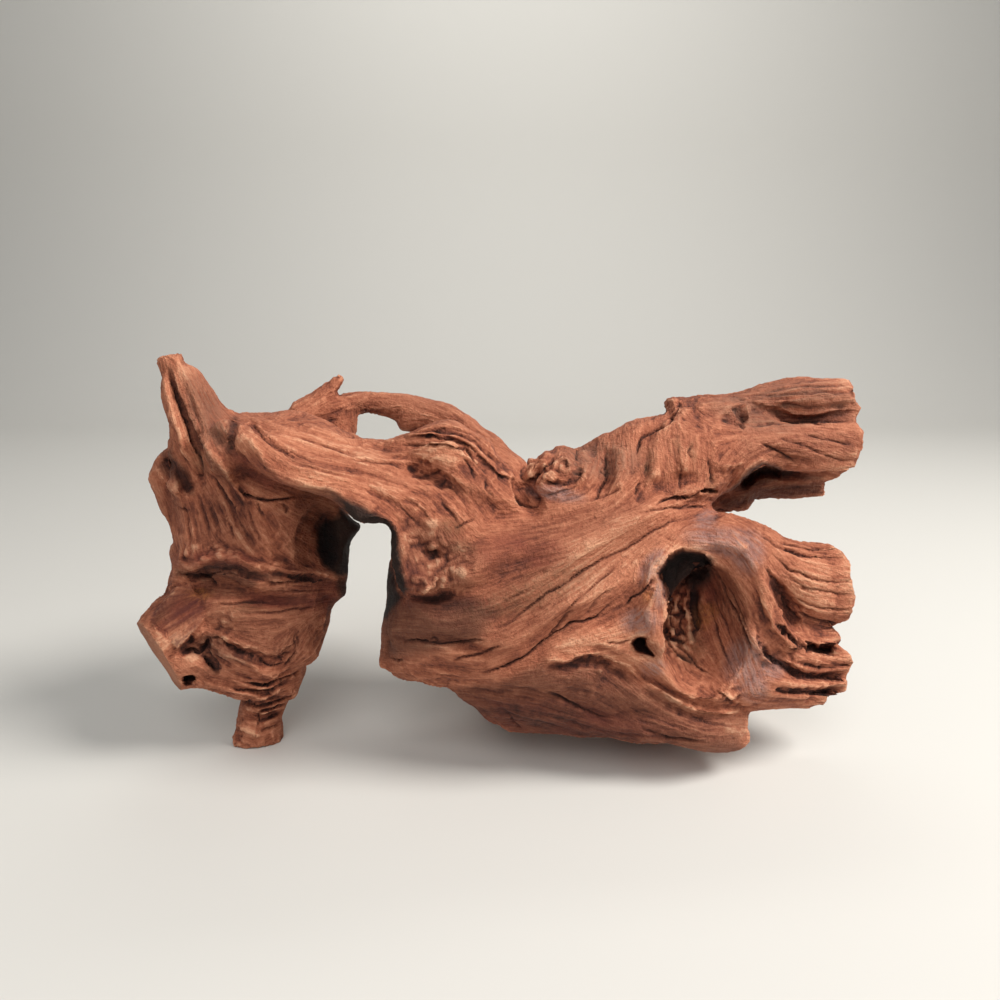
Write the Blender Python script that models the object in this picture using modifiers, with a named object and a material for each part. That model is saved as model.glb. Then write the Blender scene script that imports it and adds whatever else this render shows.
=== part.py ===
"""Aquarium driftwood: one piece of red root wood, broken and worn on every side.

Metres, +Z up. The wood is about 221 mm long, along X, and its best side faces -Y.
It stands on three low spots at Z = 0, with the origin under the middle of its box.
All tables below are in millimetres, in a working frame whose plane Y = 0 runs
through the left foot. The last step moves the finished wood over the origin.
"""

import math
import random

import bmesh
import bpy
import numpy as np
from mathutils import Matrix, Vector, noise
from mathutils.bvhtree import BVHTree

MM = 0.001
WOOD = "driftwood"
COLOUR = (0.37, 0.13, 0.065, 1.0)
ROUGHNESS = 0.85

# How finely the limbs, the skin over them and its relief are made
SECTION_SIDES = 20
LIMB_STEPS = 4
SKIN_VOXEL = 1.1
SKIN_SMOOTHING = 4
RELIEF_STEPS = 5
RELIEF_SMOOTHING = 2
TRIANGLES = 10500

# The swell of the grain: the spread of one swell along X, Y and Z, and its height
SWELL_SPREAD = np.array((22.0, 11.0, 9.0))
SWELL_HEIGHT = 1.3

# Side of the cube below Z = 0 that cuts the feet flat
GROUND_SIZE = 400.0

# Relief is drawn on the plane Y = 0 and carried to the wood from one of these points
EYES = {
    "front": (0.0, -220.0, 133.0),
    "back": (0.0, 320.0, 133.0),
}

# Limbs whose sections stay square to X, where the others turn with the limb
UPRIGHT = ("main_body",)

# Limbs: stations of (x, y, z, half size across, half size along Y)
LIMBS = {
    "left_trunk": [
        (-73, 8, 99, 19, 19),
        (-74, 8, 86, 24, 24),
        (-74.5, 8, 74, 26, 26),
        (-75, 8, 61, 27, 25),
        (-76, 6, 50, 26, 23),
        (-76.5, 4, 40, 22.5, 20),
        (-76.5, 3, 28, 17, 16),
        (-75, 4, 21.5, 12, 11.5),
        (-76, 5, 15.5, 7.5, 8.5),
        (-78.5, 6, 8.5, 7, 7.5),
        (-79.5, 6.5, 3, 7.8, 7.5),
        (-79.5, 6.5, -2.5, 7.2, 7),
    ],
    "spire": [
        (-82.5, -2, 85, 13, 13),
        (-84, -3, 100, 11.5, 12),
        (-86.7, -4, 108.5, 8.1, 10),
        (-88.5, -5, 115.5, 6.6, 7.5),
        (-90, -5, 120.5, 5.2, 5.5),
        (-91.5, -5, 124.3, 4.2, 4.5),
    ],
    "left_rim": [
        (-93, 6, 98, 4, 8),
        (-97, 6, 94, 4.5, 8),
        (-99, 5, 88, 4.5, 9),
        (-98, 4, 82, 4, 10),
        (-96, 4, 75, 4, 12),
        (-93, 4, 68, 5, 12),
    ],
    "cut_stub": [
        (-77, 0, 39, 15, 16),
        (-87, -3, 41.5, 15, 15),
        (-94.5, -5, 39.5, 14, 13),
        (-102, -7, 34.5, 12, 11),
    ],
    "beam": [
        (-80, 0, 98, 9, 20),
        (-69, 0, 100, 8, 21),
        (-62, 0, 99, 10, 22),
        (-54, 0, 96.5, 10, 20),
        (-44.5, -2, 92.5, 9.5, 18),
        (-36, -2, 90, 10, 19),
        (-27, -2, 85, 12.5, 23),
        (-18, 0, 79, 17, 25),
        (-6, 4, 71, 20, 25),
        (6, 8, 62, 16, 18),
    ],
    "strap": [
        (-76, -14, 106, 2.5, 4),
        (-70.5, -17, 104, 3.2, 5),
        (-65.5, -19, 101.5, 4, 6),
        (-60, -20, 98, 5, 6.5),
        (-53, -20.5, 94, 5, 7),
        (-44, -20, 90.5, 4.5, 7),
        (-36, -20.5, 85.5, 4.5, 7),
        (-30, -21, 79, 4.5, 7),
        (-25.5, -22, 71, 5, 7),
        (-22, -22, 62, 6, 6),
        (-18, -14, 54, 5, 5),
    ],
    "beam_fold": [
        (-31, -2, 97, 4, 8),
        (-23.5, -4, 98.5, 6, 10),
        (-16.5, -6, 98, 8.5, 12),
        (-10.5, -7, 95, 9, 13),
        (-5, -6, 89, 9, 13),
        (2, -3, 82, 8.5, 12),
        (9, 4, 74, 7, 8),
    ],
    "rear_arch": [
        (-72, 20, 97, 6, 8),
        (-65.5, 28, 101, 6, 7),
        (-57, 34, 105, 4.5, 6),
        (-46, 40, 107, 3.8, 5.5),
        (-35, 42, 105.5, 4.9, 6),
        (-25, 40, 102.5, 6, 6.5),
        (-15, 36, 99, 5.8, 7.5),
        (-5.5, 29, 91, 7, 9),
        (4, 21, 82, 8.5, 11),
        (12, 14, 72, 9, 10),
    ],
    "horn": [
        (-66, 29, 103, 6, 5),
        (-60.5, 31, 106.5, 5.4, 4.5),
        (-55.5, 33, 112.5, 3.2, 3),
        (-52.5, 34, 116.5, 2, 1.8),
    ],
    "rear_post": [
        (-53, 35, 106, 5, 6),
        (-54, 33, 98, 6, 7),
        (-56, 27, 85, 7, 9),
        (-60, 20, 74, 8, 11),
    ],
    "main_body": [
        (-35, 14, 41, 16, 14),
        (-32, 9, 45.5, 23, 23),
        (-22, 5, 52.5, 29.5, 30),
        (-9.5, 5, 54.5, 37.5, 33),
        (2.5, 5, 49, 40, 34),
        (18, 4, 48.5, 43.5, 34),
        (34.5, 4, 48.5, 46.5, 32),
        (48.5, 2, 46, 43.5, 30),
        (60.5, -2, 43, 37, 24),
        (71, -4, 41, 30, 16),
    ],
    "body_corner": [
        (-28, 12, 70, 4, 12),
        (-30, 11, 58, 5, 15),
        (-31, 10, 45, 5.5, 17),
        (-32, 9, 36, 6, 17),
        (-33.5, 9, 30, 6, 15),
    ],
    "upper_stub": [
        (30, 8, 78.5, 18, 25),
        (44, 8, 86.5, 17.5, 22),
        (56, 10, 92, 16, 19),
        (68, 12, 96, 12.5, 16),
        (80.5, 14, 99, 9, 13),
        (91, 15, 101, 7, 11),
        (108, 15, 103, 6.5, 10),
    ],
    "front_plate": [
        (48, 0, 86, 7, 14),
        (57, 1, 90, 7, 13),
        (66, 2, 94, 6, 11),
        (73, 3, 97.5, 6, 9),
        (79.5, 3, 98.5, 5, 8),
        (86.5, 4, 97.5, 6.5, 8),
        (93.5, 5, 97, 7, 8),
        (100.5, 5, 97, 7.2, 7),
        (107, 6, 97.5, 7, 6.5),
    ],
    "top_plate": [
        (54.5, 14, 103.5, 6, 12),
        (62.5, 15, 107, 5.5, 11),
        (73.5, 16, 108, 5, 11),
        (83.5, 17, 110, 5, 10),
        (92, 17, 111, 5.8, 10),
        (99.5, 17, 111, 5.8, 10),
        (107.8, 17, 111.3, 5.5, 9),
    ],
    "back_plate": [
        (60, 20, 84, 13, 9),
        (71, 22, 85.5, 13.5, 8),
        (81.5, 25, 87.5, 12.5, 7),
        (92, 27, 88, 12.5, 6),
        (101, 27, 89, 12.5, 5),
        (108.5, 26, 93, 10, 5),
    ],
    "lower_stub": [
        (57.5, -4, 43, 29, 20),
        (68, -4, 44.5, 29, 18),
        (79, -2, 43.5, 26, 14),
        (91, 0, 42.5, 25, 11),
        (103, 2, 41, 23, 9),
    ],
    "fan_plate": [
        (52, -8, 66, 10, 12),
        (62, -8, 68, 12, 12),
        (71, -9, 65, 13, 11),
        (82, -8, 60.5, 12.5, 9),
        (90.5, -6, 58.5, 12.5, 8),
        (98, -4, 57, 11.5, 7),
        (103.8, -2, 55.8, 9.5, 5.5),
    ],
    "jaws": [
        (66, -8, 29, 9, 12),
        (74, -8, 30, 10.5, 12),
        (82.5, -8, 31.5, 12, 11),
        (92.5, -6, 30.5, 12, 9),
        (100.5, -4, 29.5, 10.5, 8),
        (105.5, -3, 28, 8, 6),
    ],
    "bottom_lip": [
        (3, -4, 19.5, 9, 12),
        (18, -8, 19.5, 8.5, 12),
        (33, -12, 20, 9.5, 12),
        (46, -14, 19.5, 10, 11),
        (60, -14, 17, 8.5, 10),
        (70, -12, 14.5, 7, 8),
        (74, -11, 14.5, 5, 6),
    ],
    "knob": [
        (9, 0, 87.5, 7.5, 10),
        (18, -1, 89.5, 8, 11),
        (28, 0, 88.5, 7, 10),
    ],
    "belly_foot": [
        (32, 10, 9, 4, 5),
        (41, 9, 6.5, 7, 8),
        (50, 8, 5.5, 7, 8),
        (58, 7, 8, 5, 6),
    ],
    "rear_root": [
        (3, 20, 38, 17, 14),
        (5, 33, 27, 13, 11),
        (9, 43, 16, 9.5, 9),
        (12, 49, 7, 7.5, 8),
        (11, 51, -3, 8.5, 8.5),
    ],
    "rear_knot": [
        (34, 20, 58, 20, 18),
        (39, 31, 60, 16, 14),
        (43, 38, 61, 11.5, 10.5),
        (45, 42, 62, 6, 6),
    ],
}

# Hollows: stations as above, taken out of the joined limbs
HOLLOWS = {
    "knot_mouth": [
        (68, -50, 44, 18, 21),
        (61, -34, 47, 15, 20),
        (57, -22, 51, 13, 18),
        (53, -10, 55, 11, 13),
        (50, -3, 58, 7, 7),
    ],
    "doorway": [
        (-44, -30, 70, 13, 15),
        (-47, -16, 70, 11, 15),
        (-50, -4, 71, 8, 12),
        (-51, 4, 72, 4, 6),
    ],
    "trunk_back": [
        (-64, 48, 62, 16, 27),
        (-66, 36, 64, 13, 24),
        (-68, 26, 68, 9, 17),
        (-70, 19, 72, 4, 8),
    ],
    "back_trough": [
        (-26, 44, 70, 5, 8),
        (-4, 45, 64, 9, 11),
        (22, 45, 50, 9, 12),
        (52, 42, 34, 7, 10),
    ],
    "stub_gutter": [
        (74, 6, 80, 3, 6),
        (79, 8, 84, 7, 10),
        (87, 9, 85, 8, 11),
        (97, 9, 84.5, 9, 12),
        (108, 9, 83, 9, 12),
        (124, 9, 83, 9, 12),
    ],
}

# Relief: side it is drawn from, half width, height (below 0 sinks), points of (x, z)
RELIEF = [
    # Spire: the split down its left side, its right edge and the cavity at its root
    ("front", 3.0, -3.5, [(-95, 121), (-93, 115), (-91, 109), (-89, 100), (-87, 89)]),
    ("front", 4.0, 1.8, [(-92, 119), (-88, 109), (-83, 97), (-79, 89), (-75, 83)]),
    ("front", 5.0, -6.0, [(-95, 94), (-92, 89), (-91, 83)]),
    # Trunk: flutes, the ledge under them and the crevice of the cut stub
    ("front", 3.2, -1.7, [(-89, 86), (-85, 78), (-80, 67)]),
    ("front", 3.2, -1.7, [(-84, 87), (-79, 78), (-74, 69)]),
    ("front", 3.2, -1.7, [(-79, 86), (-74, 79), (-69, 73)]),
    ("front", 5.0, 2.5, [(-98, 60), (-89, 63), (-80, 62), (-70, 59), (-61, 56)]),
    ("front", 4.5, -4.5, [(-98, 52), (-92, 55), (-84, 54), (-77, 51), (-68, 49), (-60, 48)]),
    ("front", 4.0, -5.0, [(-99, 41), (-97, 35), (-92, 31), (-87, 29)]),
    ("front", 3.5, -2.5, [(-84, 20), (-76, 18), (-66, 17)]),
    # Beam: the fold on its top, the pocket under the fold and the crack beside it
    ("front", 3.5, -2.5, [(-29, 99), (-24, 101), (-18, 102), (-12, 101), (-7, 97), (0, 90), (8, 84)]),
    ("front", 3.0, -2.0, [(-27, 96), (-15, 95), (-7, 90), (0, 86), (6, 83)]),
    ("front", 4.0, -3.0, [(-28, 90), (-22, 91), (-17, 88)]),
    # Body: the ragged lower edge of the lumps below the strap
    ("front", 6.0, 3.0, [(-28, 58), (-21, 57), (-13, 58), (-6, 62), (2, 66)]),
    ("front", 5.0, -3.5, [(-30, 52), (-26, 50), (-20, 50), (-13, 50), (-8, 53), (-1, 57)]),
    # Body: the long cracks that run down to the left
    ("front", 3.5, -3.0, [(62, 77), (52, 75), (44, 71), (36, 66), (29, 62), (21, 57), (14, 52), (3, 44)]),
    ("front", 5.0, 1.8, [(52, 81), (40, 76), (28, 70), (17, 64), (6, 57)]),
    ("front", 3.5, -2.8, [(45, 55), (39, 50), (34, 45), (26, 44), (19, 41), (11, 34), (6, 31), (-6, 26)]),
    ("front", 5.0, 1.8, [(40, 58), (28, 52), (18, 47), (8, 41), (-4, 37)]),
    ("front", 3.0, -2.0, [(-32, 38), (-21, 38), (-15, 36), (-7, 33), (-1, 34)]),
    # Knob: the notch on its left and the cracks on its right
    ("front", 4.5, -5.0, [(9, 93), (7, 87), (10, 79)]),
    ("front", 3.0, -2.5, [(31, 96), (31, 90), (29, 84)]),
    ("front", 3.0, -2.5, [(51, 110), (43, 102), (40, 97)]),
    # Knot hollow: its rim, the small hole beside it and the bottom lip's ledge
    ("front", 5.0, 2.5, [(52, 66), (47, 58), (46, 50), (47, 41), (51, 32)]),
    ("front", 5.0, 2.5, [(54, 70), (61, 72), (69, 70), (76, 64)]),
    ("front", 5.0, 4.0, [(78, 63), (81, 53), (86, 43), (90, 37), (98, 34)]),
    ("front", 3.5, -4.5, [(43, 35), (46, 33)]),
    ("front", 5.0, -3.5, [(19, 30), (30, 31), (42, 25), (50, 20), (61, 14), (70, 12), (76, 14)]),
    # Lower stub: grooves between the fan plate and the jaws
    ("front", 4.0, -4.0, [(84, 58), (89, 50), (94, 44), (107, 40)]),
    ("front", 3.5, -3.0, [(86, 28), (94, 25), (108, 24)]),
    # Upper stub: the slit under the shoulder, the plates' groove and the pit in it
    ("front", 3.5, -3.5, [(42, 84), (51, 87), (59, 89), (69, 89)]),
    ("front", 3.5, -3.5, [(69, 111), (78, 109), (85, 107), (92, 106), (98, 108), (105, 108)]),
    ("front", 3.5, -3.5, [(66, 106), (71, 107)]),
]

# Grooves on the hidden back, drawn by rule: along the body and down the trunk.
# A pair is the lowest and highest value drawn, except that levels and places are
# the first groove's and the step to the next.
BACK_SEED = 11
GROOVE_SHARES = (0.0, 0.25, 0.5, 0.75, 1.0)
GROOVE_SWAY = (-4, 4)
GROOVE_HALF_WIDTH = (3, 5.5)
GROOVE_HEIGHT = (-3, -1.6)
BODY_GROOVES = 8
BODY_GROOVE_START = (-32, 5)
BODY_GROOVE_LENGTH = (55, 95)
BODY_GROOVE_LEVELS = (24, 9)
BODY_GROOVE_RISE = 0.2
TRUNK_GROOVES = 6
TRUNK_GROOVE_TOP = (80, 100)
TRUNK_GROOVE_FOOT = (20, 40)
TRUNK_GROOVE_PLACES = (-96, 8)
TRUNK_MIDDLE = -76


def smooth_path(stations, steps):
    """Points of a smooth curve through the stations, every value of them alike."""
    rows = np.array(stations, dtype=float)
    padded = np.vstack([2 * rows[0] - rows[1], rows, 2 * rows[-1] - rows[-2]])
    points = []
    for a, b, c, d in zip(padded, padded[1:], padded[2:], padded[3:], strict=False):
        for t in np.arange(steps) / steps:
            points.append(
                b
                + 0.5 * t * (c - a)
                + t**2 * (a - 2.5 * b + 2 * c - 0.5 * d)
                + t**3 * (1.5 * (b - c) + 0.5 * (d - a))
            )
    points.append(rows[-1])
    return np.array(points)


def limb(name, stations, collection):
    """A closed loft of ellipses. The second half size lies along Y, or Z in a limb that runs along Y."""
    path = smooth_path(stations, LIMB_STEPS)
    run = Vector(path[-1][:3] - path[0][:3]).normalized()
    facing = Vector((0, 0, 1)) if abs(run.y) > 0.7 else Vector((0, 1, 0))
    shape = bmesh.new()
    rings = []
    for i, (x, y, z, across, deep) in enumerate(path):
        ahead = path[min(i + 1, len(path) - 1)][:3]
        behind = path[max(i - 1, 0)][:3]
        along = Vector((1, 0, 0)) if name in UPRIGHT else Vector(ahead - behind).normalized()
        side = along.cross(facing).normalized()
        front = side.cross(along).normalized()
        ring = []
        for k in range(SECTION_SIDES):
            angle = 2 * math.pi * k / SECTION_SIDES
            offset = side * across * math.cos(angle) + front * deep * math.sin(angle)
            ring.append(shape.verts.new((Vector((x, y, z)) + offset) * MM))
        rings.append(ring)
    for first, second in zip(rings, rings[1:], strict=False):
        for k in range(SECTION_SIDES):
            after = (k + 1) % SECTION_SIDES
            shape.faces.new((first[k], first[after], second[after], second[k]))
    shape.faces.new(rings[0])
    shape.faces.new(rings[-1])
    bmesh.ops.recalc_face_normals(shape, faces=shape.faces)
    mesh = bpy.data.meshes.new(name)
    shape.to_mesh(mesh)
    shape.free()
    made = bpy.data.objects.new(name, mesh)
    collection.objects.link(made)
    return made


def new_collection(name):
    collection = bpy.data.collections.new(name)
    bpy.context.scene.collection.children.link(collection)
    return collection


def apply_modifiers(target):
    """Replaces an object's mesh by its evaluated one."""
    bpy.context.view_layer.update()
    evaluated = target.evaluated_get(bpy.context.evaluated_depsgraph_get())
    mesh = bpy.data.meshes.new_from_object(evaluated)
    target.modifiers.clear()
    target.data = mesh


def clear_scene():
    """Removes whatever the file holds."""
    for thing in list(bpy.data.objects):
        bpy.data.objects.remove(thing, do_unlink=True)
    for collection in list(bpy.data.collections):
        bpy.data.collections.remove(collection)


def join_limbs():
    """The limbs joined as one solid, with the hollows taken out."""
    limbs = new_collection("limbs")
    hollows = new_collection("cutters")
    wood_collection = new_collection("aquarium_driftwood")
    made = [limb(name, stations, limbs) for name, stations in LIMBS.items()]
    for name, stations in HOLLOWS.items():
        cutter = limb(name, stations, hollows)
        cutter.hide_render = True
        cutter.display_type = "WIRE"
    wood = made[0]
    limbs.objects.unlink(wood)
    wood_collection.objects.link(wood)
    wood.name = WOOD
    for operation, collection in (("UNION", limbs), ("DIFFERENCE", hollows)):
        cut = wood.modifiers.new(operation.lower(), "BOOLEAN")
        cut.operation = operation
        cut.operand_type = "COLLECTION"
        cut.collection = collection
        cut.solver = "EXACT"
    apply_modifiers(wood)
    for used in list(limbs.objects) + list(hollows.objects):
        bpy.data.objects.remove(used, do_unlink=True)
    bpy.data.collections.remove(limbs)
    return wood


def even_skin(wood):
    """An even, rounded skin over the joined limbs, fine enough to carry relief."""
    remesh = wood.modifiers.new("skin", "REMESH")
    remesh.mode = "VOXEL"
    remesh.voxel_size = SKIN_VOXEL * MM
    soften = wood.modifiers.new("soften", "SMOOTH")
    soften.factor = 0.5
    soften.iterations = SKIN_SMOOTHING
    apply_modifiers(wood)


def back_relief():
    """Grooves that follow the grain on the back, each a little different."""
    draw = random.Random(BACK_SEED)
    lines = []
    for k in range(BODY_GROOVES):
        start = draw.uniform(*BODY_GROOVE_START)
        length = draw.uniform(*BODY_GROOVE_LENGTH)
        sway = draw.uniform(*GROOVE_SWAY)
        level = BODY_GROOVE_LEVELS[0] + BODY_GROOVE_LEVELS[1] * k
        points = []
        for share in GROOVE_SHARES:
            rise = BODY_GROOVE_RISE * length * share + sway * math.sin(5 * share)
            points.append((start + length * share, level + rise))
        lines.append(("back", draw.uniform(*GROOVE_HALF_WIDTH), draw.uniform(*GROOVE_HEIGHT), points))
    for k in range(TRUNK_GROOVES):
        top = draw.uniform(*TRUNK_GROOVE_TOP)
        foot = draw.uniform(*TRUNK_GROOVE_FOOT)
        sway = draw.uniform(*GROOVE_SWAY)
        place = TRUNK_GROOVE_PLACES[0] + TRUNK_GROOVE_PLACES[1] * k
        points = []
        for share in GROOVE_SHARES:
            gather = (TRUNK_MIDDLE - place) * 0.5 * share**2
            points.append((place + gather + sway * math.sin(4 * share), top + (foot - top) * share))
        lines.append(("back", draw.uniform(*GROOVE_HALF_WIDTH), draw.uniform(*GROOVE_HEIGHT), points))
    return lines


def vertex_arrays(mesh):
    """Places and normals of a mesh's vertices, in metres."""
    count = len(mesh.vertices)
    places = np.empty(count * 3)
    normals = np.empty(count * 3)
    mesh.vertices.foreach_get("co", places)
    mesh.vertex_normals.foreach_get("vector", normals)
    return places.reshape(-1, 3), normals.reshape(-1, 3)


def drawn_on(tree, side, points):
    """A line drawn on the plane Y = 0, carried to the wood: its places and normals there."""
    eye = Vector(EYES[side]) * MM
    line = []
    for x, z in smooth_path(points, RELIEF_STEPS):
        aim = (Vector((x, 0.0, z)) * MM - eye).normalized()
        place, normal, _, _ = tree.ray_cast(eye, aim)
        if place is not None:
            line.append((*place, *normal))
    return np.array(line).reshape(-1, 6)


def raise_line(places, normals, line, half_width, height):
    """Moves the skin along its normals beside one line, less and less to its ends."""
    reach = half_width * MM
    low = line[:, :3].min(axis=0) - reach
    high = line[:, :3].max(axis=0) + reach
    near = np.flatnonzero(np.all((places > low) & (places < high), axis=1))
    amount = np.zeros(len(near))
    for i, (start, end) in enumerate(zip(line, line[1:], strict=False)):
        leg = end[:3] - start[:3]
        share = np.clip((places[near] - start[:3]) @ leg / max(leg @ leg, 1e-12), 0.0, 1.0)
        gap = np.linalg.norm(places[near] - start[:3] - share[:, None] * leg, axis=1) / reach
        taper = np.sin(math.pi * np.clip((i + share) / (len(line) - 1), 0.03, 0.97)) ** 0.5
        facing = np.clip(normals[near] @ start[3:] + 0.3, 0.0, 1.0)
        amount = np.maximum(amount, taper * facing * np.clip(1.0 - gap**2, 0.0, None) ** 2)
    places[near] += normals[near] * (amount * height * MM)[:, None]


def carve_relief(wood):
    """Draws every ridge and groove on the wood's skin, and the swell of the grain."""
    mesh = wood.data
    places, normals = vertex_arrays(mesh)
    tree = BVHTree.FromObject(wood, bpy.context.evaluated_depsgraph_get())
    for side, half_width, height, points in RELIEF + back_relief():
        line = drawn_on(tree, side, points)
        if len(line) > 1:
            raise_line(places, normals, line, half_width, height)
    swell = np.array([noise.noise(Vector(place / SWELL_SPREAD / MM)) for place in places])
    places += normals * (swell * SWELL_HEIGHT * MM)[:, None]
    mesh.vertices.foreach_set("co", places.ravel())
    mesh.update()


def stand_on_ground(wood):
    """Thins the skin to plain triangles, cuts the feet flat and moves the wood over the origin.

    The property "tables_origin_mm" keeps where the tables' own origin ends up.
    """
    soften = wood.modifiers.new("wear", "SMOOTH")
    soften.factor = 0.5
    soften.iterations = RELIEF_SMOOTHING
    apply_modifiers(wood)
    thin = wood.modifiers.new("thin", "DECIMATE")
    thin.ratio = TRIANGLES / (2 * len(wood.data.polygons))
    thin.use_collapse_triangulate = True
    apply_modifiers(wood)
    bpy.ops.mesh.primitive_cube_add(size=GROUND_SIZE * MM, location=(0, 0, -GROUND_SIZE * MM / 2))
    ground = bpy.context.object
    ground.name = "ground"
    ground.hide_render = True
    ground.display_type = "WIRE"
    cut = wood.modifiers.new("ground", "BOOLEAN")
    cut.operation = "DIFFERENCE"
    cut.object = ground
    cut.solver = "EXACT"
    apply_modifiers(wood)
    bpy.data.objects.remove(ground, do_unlink=True)
    places, _ = vertex_arrays(wood.data)
    middle = (places.min(axis=0) + places.max(axis=0)) / 2
    wood.data.transform(Matrix.Translation((-middle[0], -middle[1], 0.0)))
    wood["tables_origin_mm"] = [-middle[0] / MM, -middle[1] / MM, 0.0]


def finish_wood(wood):
    """Dry, unpolished red-brown wood."""
    material = bpy.data.materials.new("red_root_wood")
    material.use_nodes = True
    shader = material.node_tree.nodes["Principled BSDF"]
    shader.inputs["Base Color"].default_value = COLOUR
    shader.inputs["Roughness"].default_value = ROUGHNESS
    shader.inputs["Metallic"].default_value = 0.0
    wood.data.materials.clear()
    wood.data.materials.append(material)


def main():
    clear_scene()
    wood = join_limbs()
    even_skin(wood)
    carve_relief(wood)
    stand_on_ground(wood)
    finish_wood(wood)


main()
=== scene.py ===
import math

import bpy
import numpy as np
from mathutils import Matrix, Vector
from mathutils.bvhtree import BVHTree


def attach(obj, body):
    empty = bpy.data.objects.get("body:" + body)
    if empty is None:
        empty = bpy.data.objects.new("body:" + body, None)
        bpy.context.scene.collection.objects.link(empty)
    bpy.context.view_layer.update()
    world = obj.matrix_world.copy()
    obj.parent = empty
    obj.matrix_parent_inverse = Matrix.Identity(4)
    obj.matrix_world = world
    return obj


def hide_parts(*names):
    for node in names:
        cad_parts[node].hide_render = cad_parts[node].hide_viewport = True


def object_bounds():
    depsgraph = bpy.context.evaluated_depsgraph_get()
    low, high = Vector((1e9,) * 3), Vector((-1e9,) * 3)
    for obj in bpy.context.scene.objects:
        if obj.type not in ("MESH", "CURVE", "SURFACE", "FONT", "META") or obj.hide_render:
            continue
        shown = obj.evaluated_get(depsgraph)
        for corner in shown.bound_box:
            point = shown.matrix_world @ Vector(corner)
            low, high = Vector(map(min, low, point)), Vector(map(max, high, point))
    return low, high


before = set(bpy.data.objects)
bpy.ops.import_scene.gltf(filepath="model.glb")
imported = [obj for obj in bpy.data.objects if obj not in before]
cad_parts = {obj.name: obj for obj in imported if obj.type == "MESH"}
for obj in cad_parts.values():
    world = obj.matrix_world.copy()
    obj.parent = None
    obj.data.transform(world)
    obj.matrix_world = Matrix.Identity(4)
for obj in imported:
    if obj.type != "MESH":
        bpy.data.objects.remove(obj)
cad_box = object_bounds()

# Aquarium driftwood: one twisted piece of dry, red root wood, finished over the shape of its solid.
# Lengths are metres; depths and heights of the carving are given in millimetres.
# A place on the front is given by its pixel in the photograph's 1000 x 1000 frame.

MM = 0.001
NODE = "driftwood"

# The camera of the photograph
PHOTO = 1000
CAMERA_PLACE = np.array((-0.00216, -0.23461, 0.1327))
CAMERA_TILT = math.radians(13)
SENSOR = 36.0
LENS = 27.36
FOCAL = LENS / SENSOR * PHOTO
CLOSEST = 0.01
RIGHT = np.array((1.0, 0.0, 0.0))
DOWN = np.array((0.0, -math.sin(CAMERA_TILT), -math.cos(CAMERA_TILT)))

# The mesh
SKIN_VOXEL = 0.52
SKIN_SMOOTHING = 9
FIRST_TRIANGLES = 262000
TRIANGLES = 192000
HIDDEN_THINNING = 0.5
THINNING_LEVELS = 4

# What the photograph sees: how far a hidden point lies behind, the steepest side that still counts as
# seen, and how the front fades into the rest
HIDDEN_DEPTH = 1.6 * MM
FACING_LIMIT = 0.12
FRONT_TURNS = 14
EDGE_TURNS = 2
EDGE_GAIN = 1.4


def dense_skin(node):
    """A new object with an even, fine mesh over the node's solid, its facets smoothed away."""
    mesh = node.data.copy()
    mesh.name = "driftwood_wood"
    obj = bpy.data.objects.new("driftwood_wood", mesh)
    bpy.context.scene.collection.objects.link(obj)
    obj.data.materials.clear()
    remesh = obj.modifiers.new("even mesh", "REMESH")
    remesh.mode = "VOXEL"
    remesh.voxel_size = SKIN_VOXEL * MM
    smooth = obj.modifiers.new("smooth", "SMOOTH")
    smooth.factor = 0.5
    smooth.iterations = SKIN_SMOOTHING
    apply_modifiers(obj)
    return obj


def apply_modifiers(obj):
    """Makes the result of the object's modifiers its own mesh."""
    graph = bpy.context.evaluated_depsgraph_get()
    shaped = bpy.data.meshes.new_from_object(obj.evaluated_get(graph), depsgraph=graph)
    obj.modifiers.clear()
    old = obj.data
    obj.data = shaped
    bpy.data.meshes.remove(old)


def read_points(mesh):
    points = np.empty(len(mesh.vertices) * 3, dtype=np.float32)
    mesh.vertices.foreach_get("co", points)
    return points.reshape(-1, 3).astype(np.float64)


def read_normals(mesh):
    normals = np.empty(len(mesh.vertices) * 3, dtype=np.float32)
    mesh.vertex_normals.foreach_get("vector", normals)
    return normals.reshape(-1, 3).astype(np.float64)


def write_points(mesh, points):
    mesh.vertices.foreach_set("co", points.astype(np.float32).ravel())
    mesh.update()


def read_edges(mesh):
    edges = np.empty(len(mesh.edges) * 2, dtype=np.int32)
    mesh.edges.foreach_get("vertices", edges)
    return edges.reshape(-1, 2)


class Skin:
    """The mesh as arrays: its points and normals, and where each point is in the photograph."""

    def __init__(self, mesh):
        self.mesh = mesh
        self.points = read_points(mesh)
        self.normals = read_normals(mesh)
        self.edges = read_edges(mesh)
        count = len(self.points)
        self.degree = np.bincount(self.edges.ravel(), minlength=count).astype(float)
        self.look()

    def look(self):
        self.pixels, self.depth = to_pixels(self.points)

    def spread(self, values, turns):
        """Averages a value, or a row of values, with its neighbours' on the mesh, turns times over."""
        values = np.asarray(values, dtype=float)
        flat = values.reshape(len(values), -1).copy()
        first, second = self.edges[:, 0], self.edges[:, 1]
        count = len(values)
        for _ in range(turns):
            for column in range(flat.shape[1]):
                one = flat[:, column]
                total = np.bincount(first, weights=one[second], minlength=count)
                total += np.bincount(second, weights=one[first], minlength=count)
                flat[:, column] = 0.5 * one + 0.5 * total / np.maximum(self.degree, 1)
        return flat.reshape(values.shape)

    def move(self, offsets):
        """Moves each point by its offset in metres."""
        self.points = self.points + offsets
        write_points(self.mesh, self.points)
        self.normals = read_normals(self.mesh)
        self.look()

    def push(self, heights):
        """Moves each point along its normal by a height in millimetres."""
        self.move(self.normals * (np.asarray(heights) * MM)[:, None])


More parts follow.
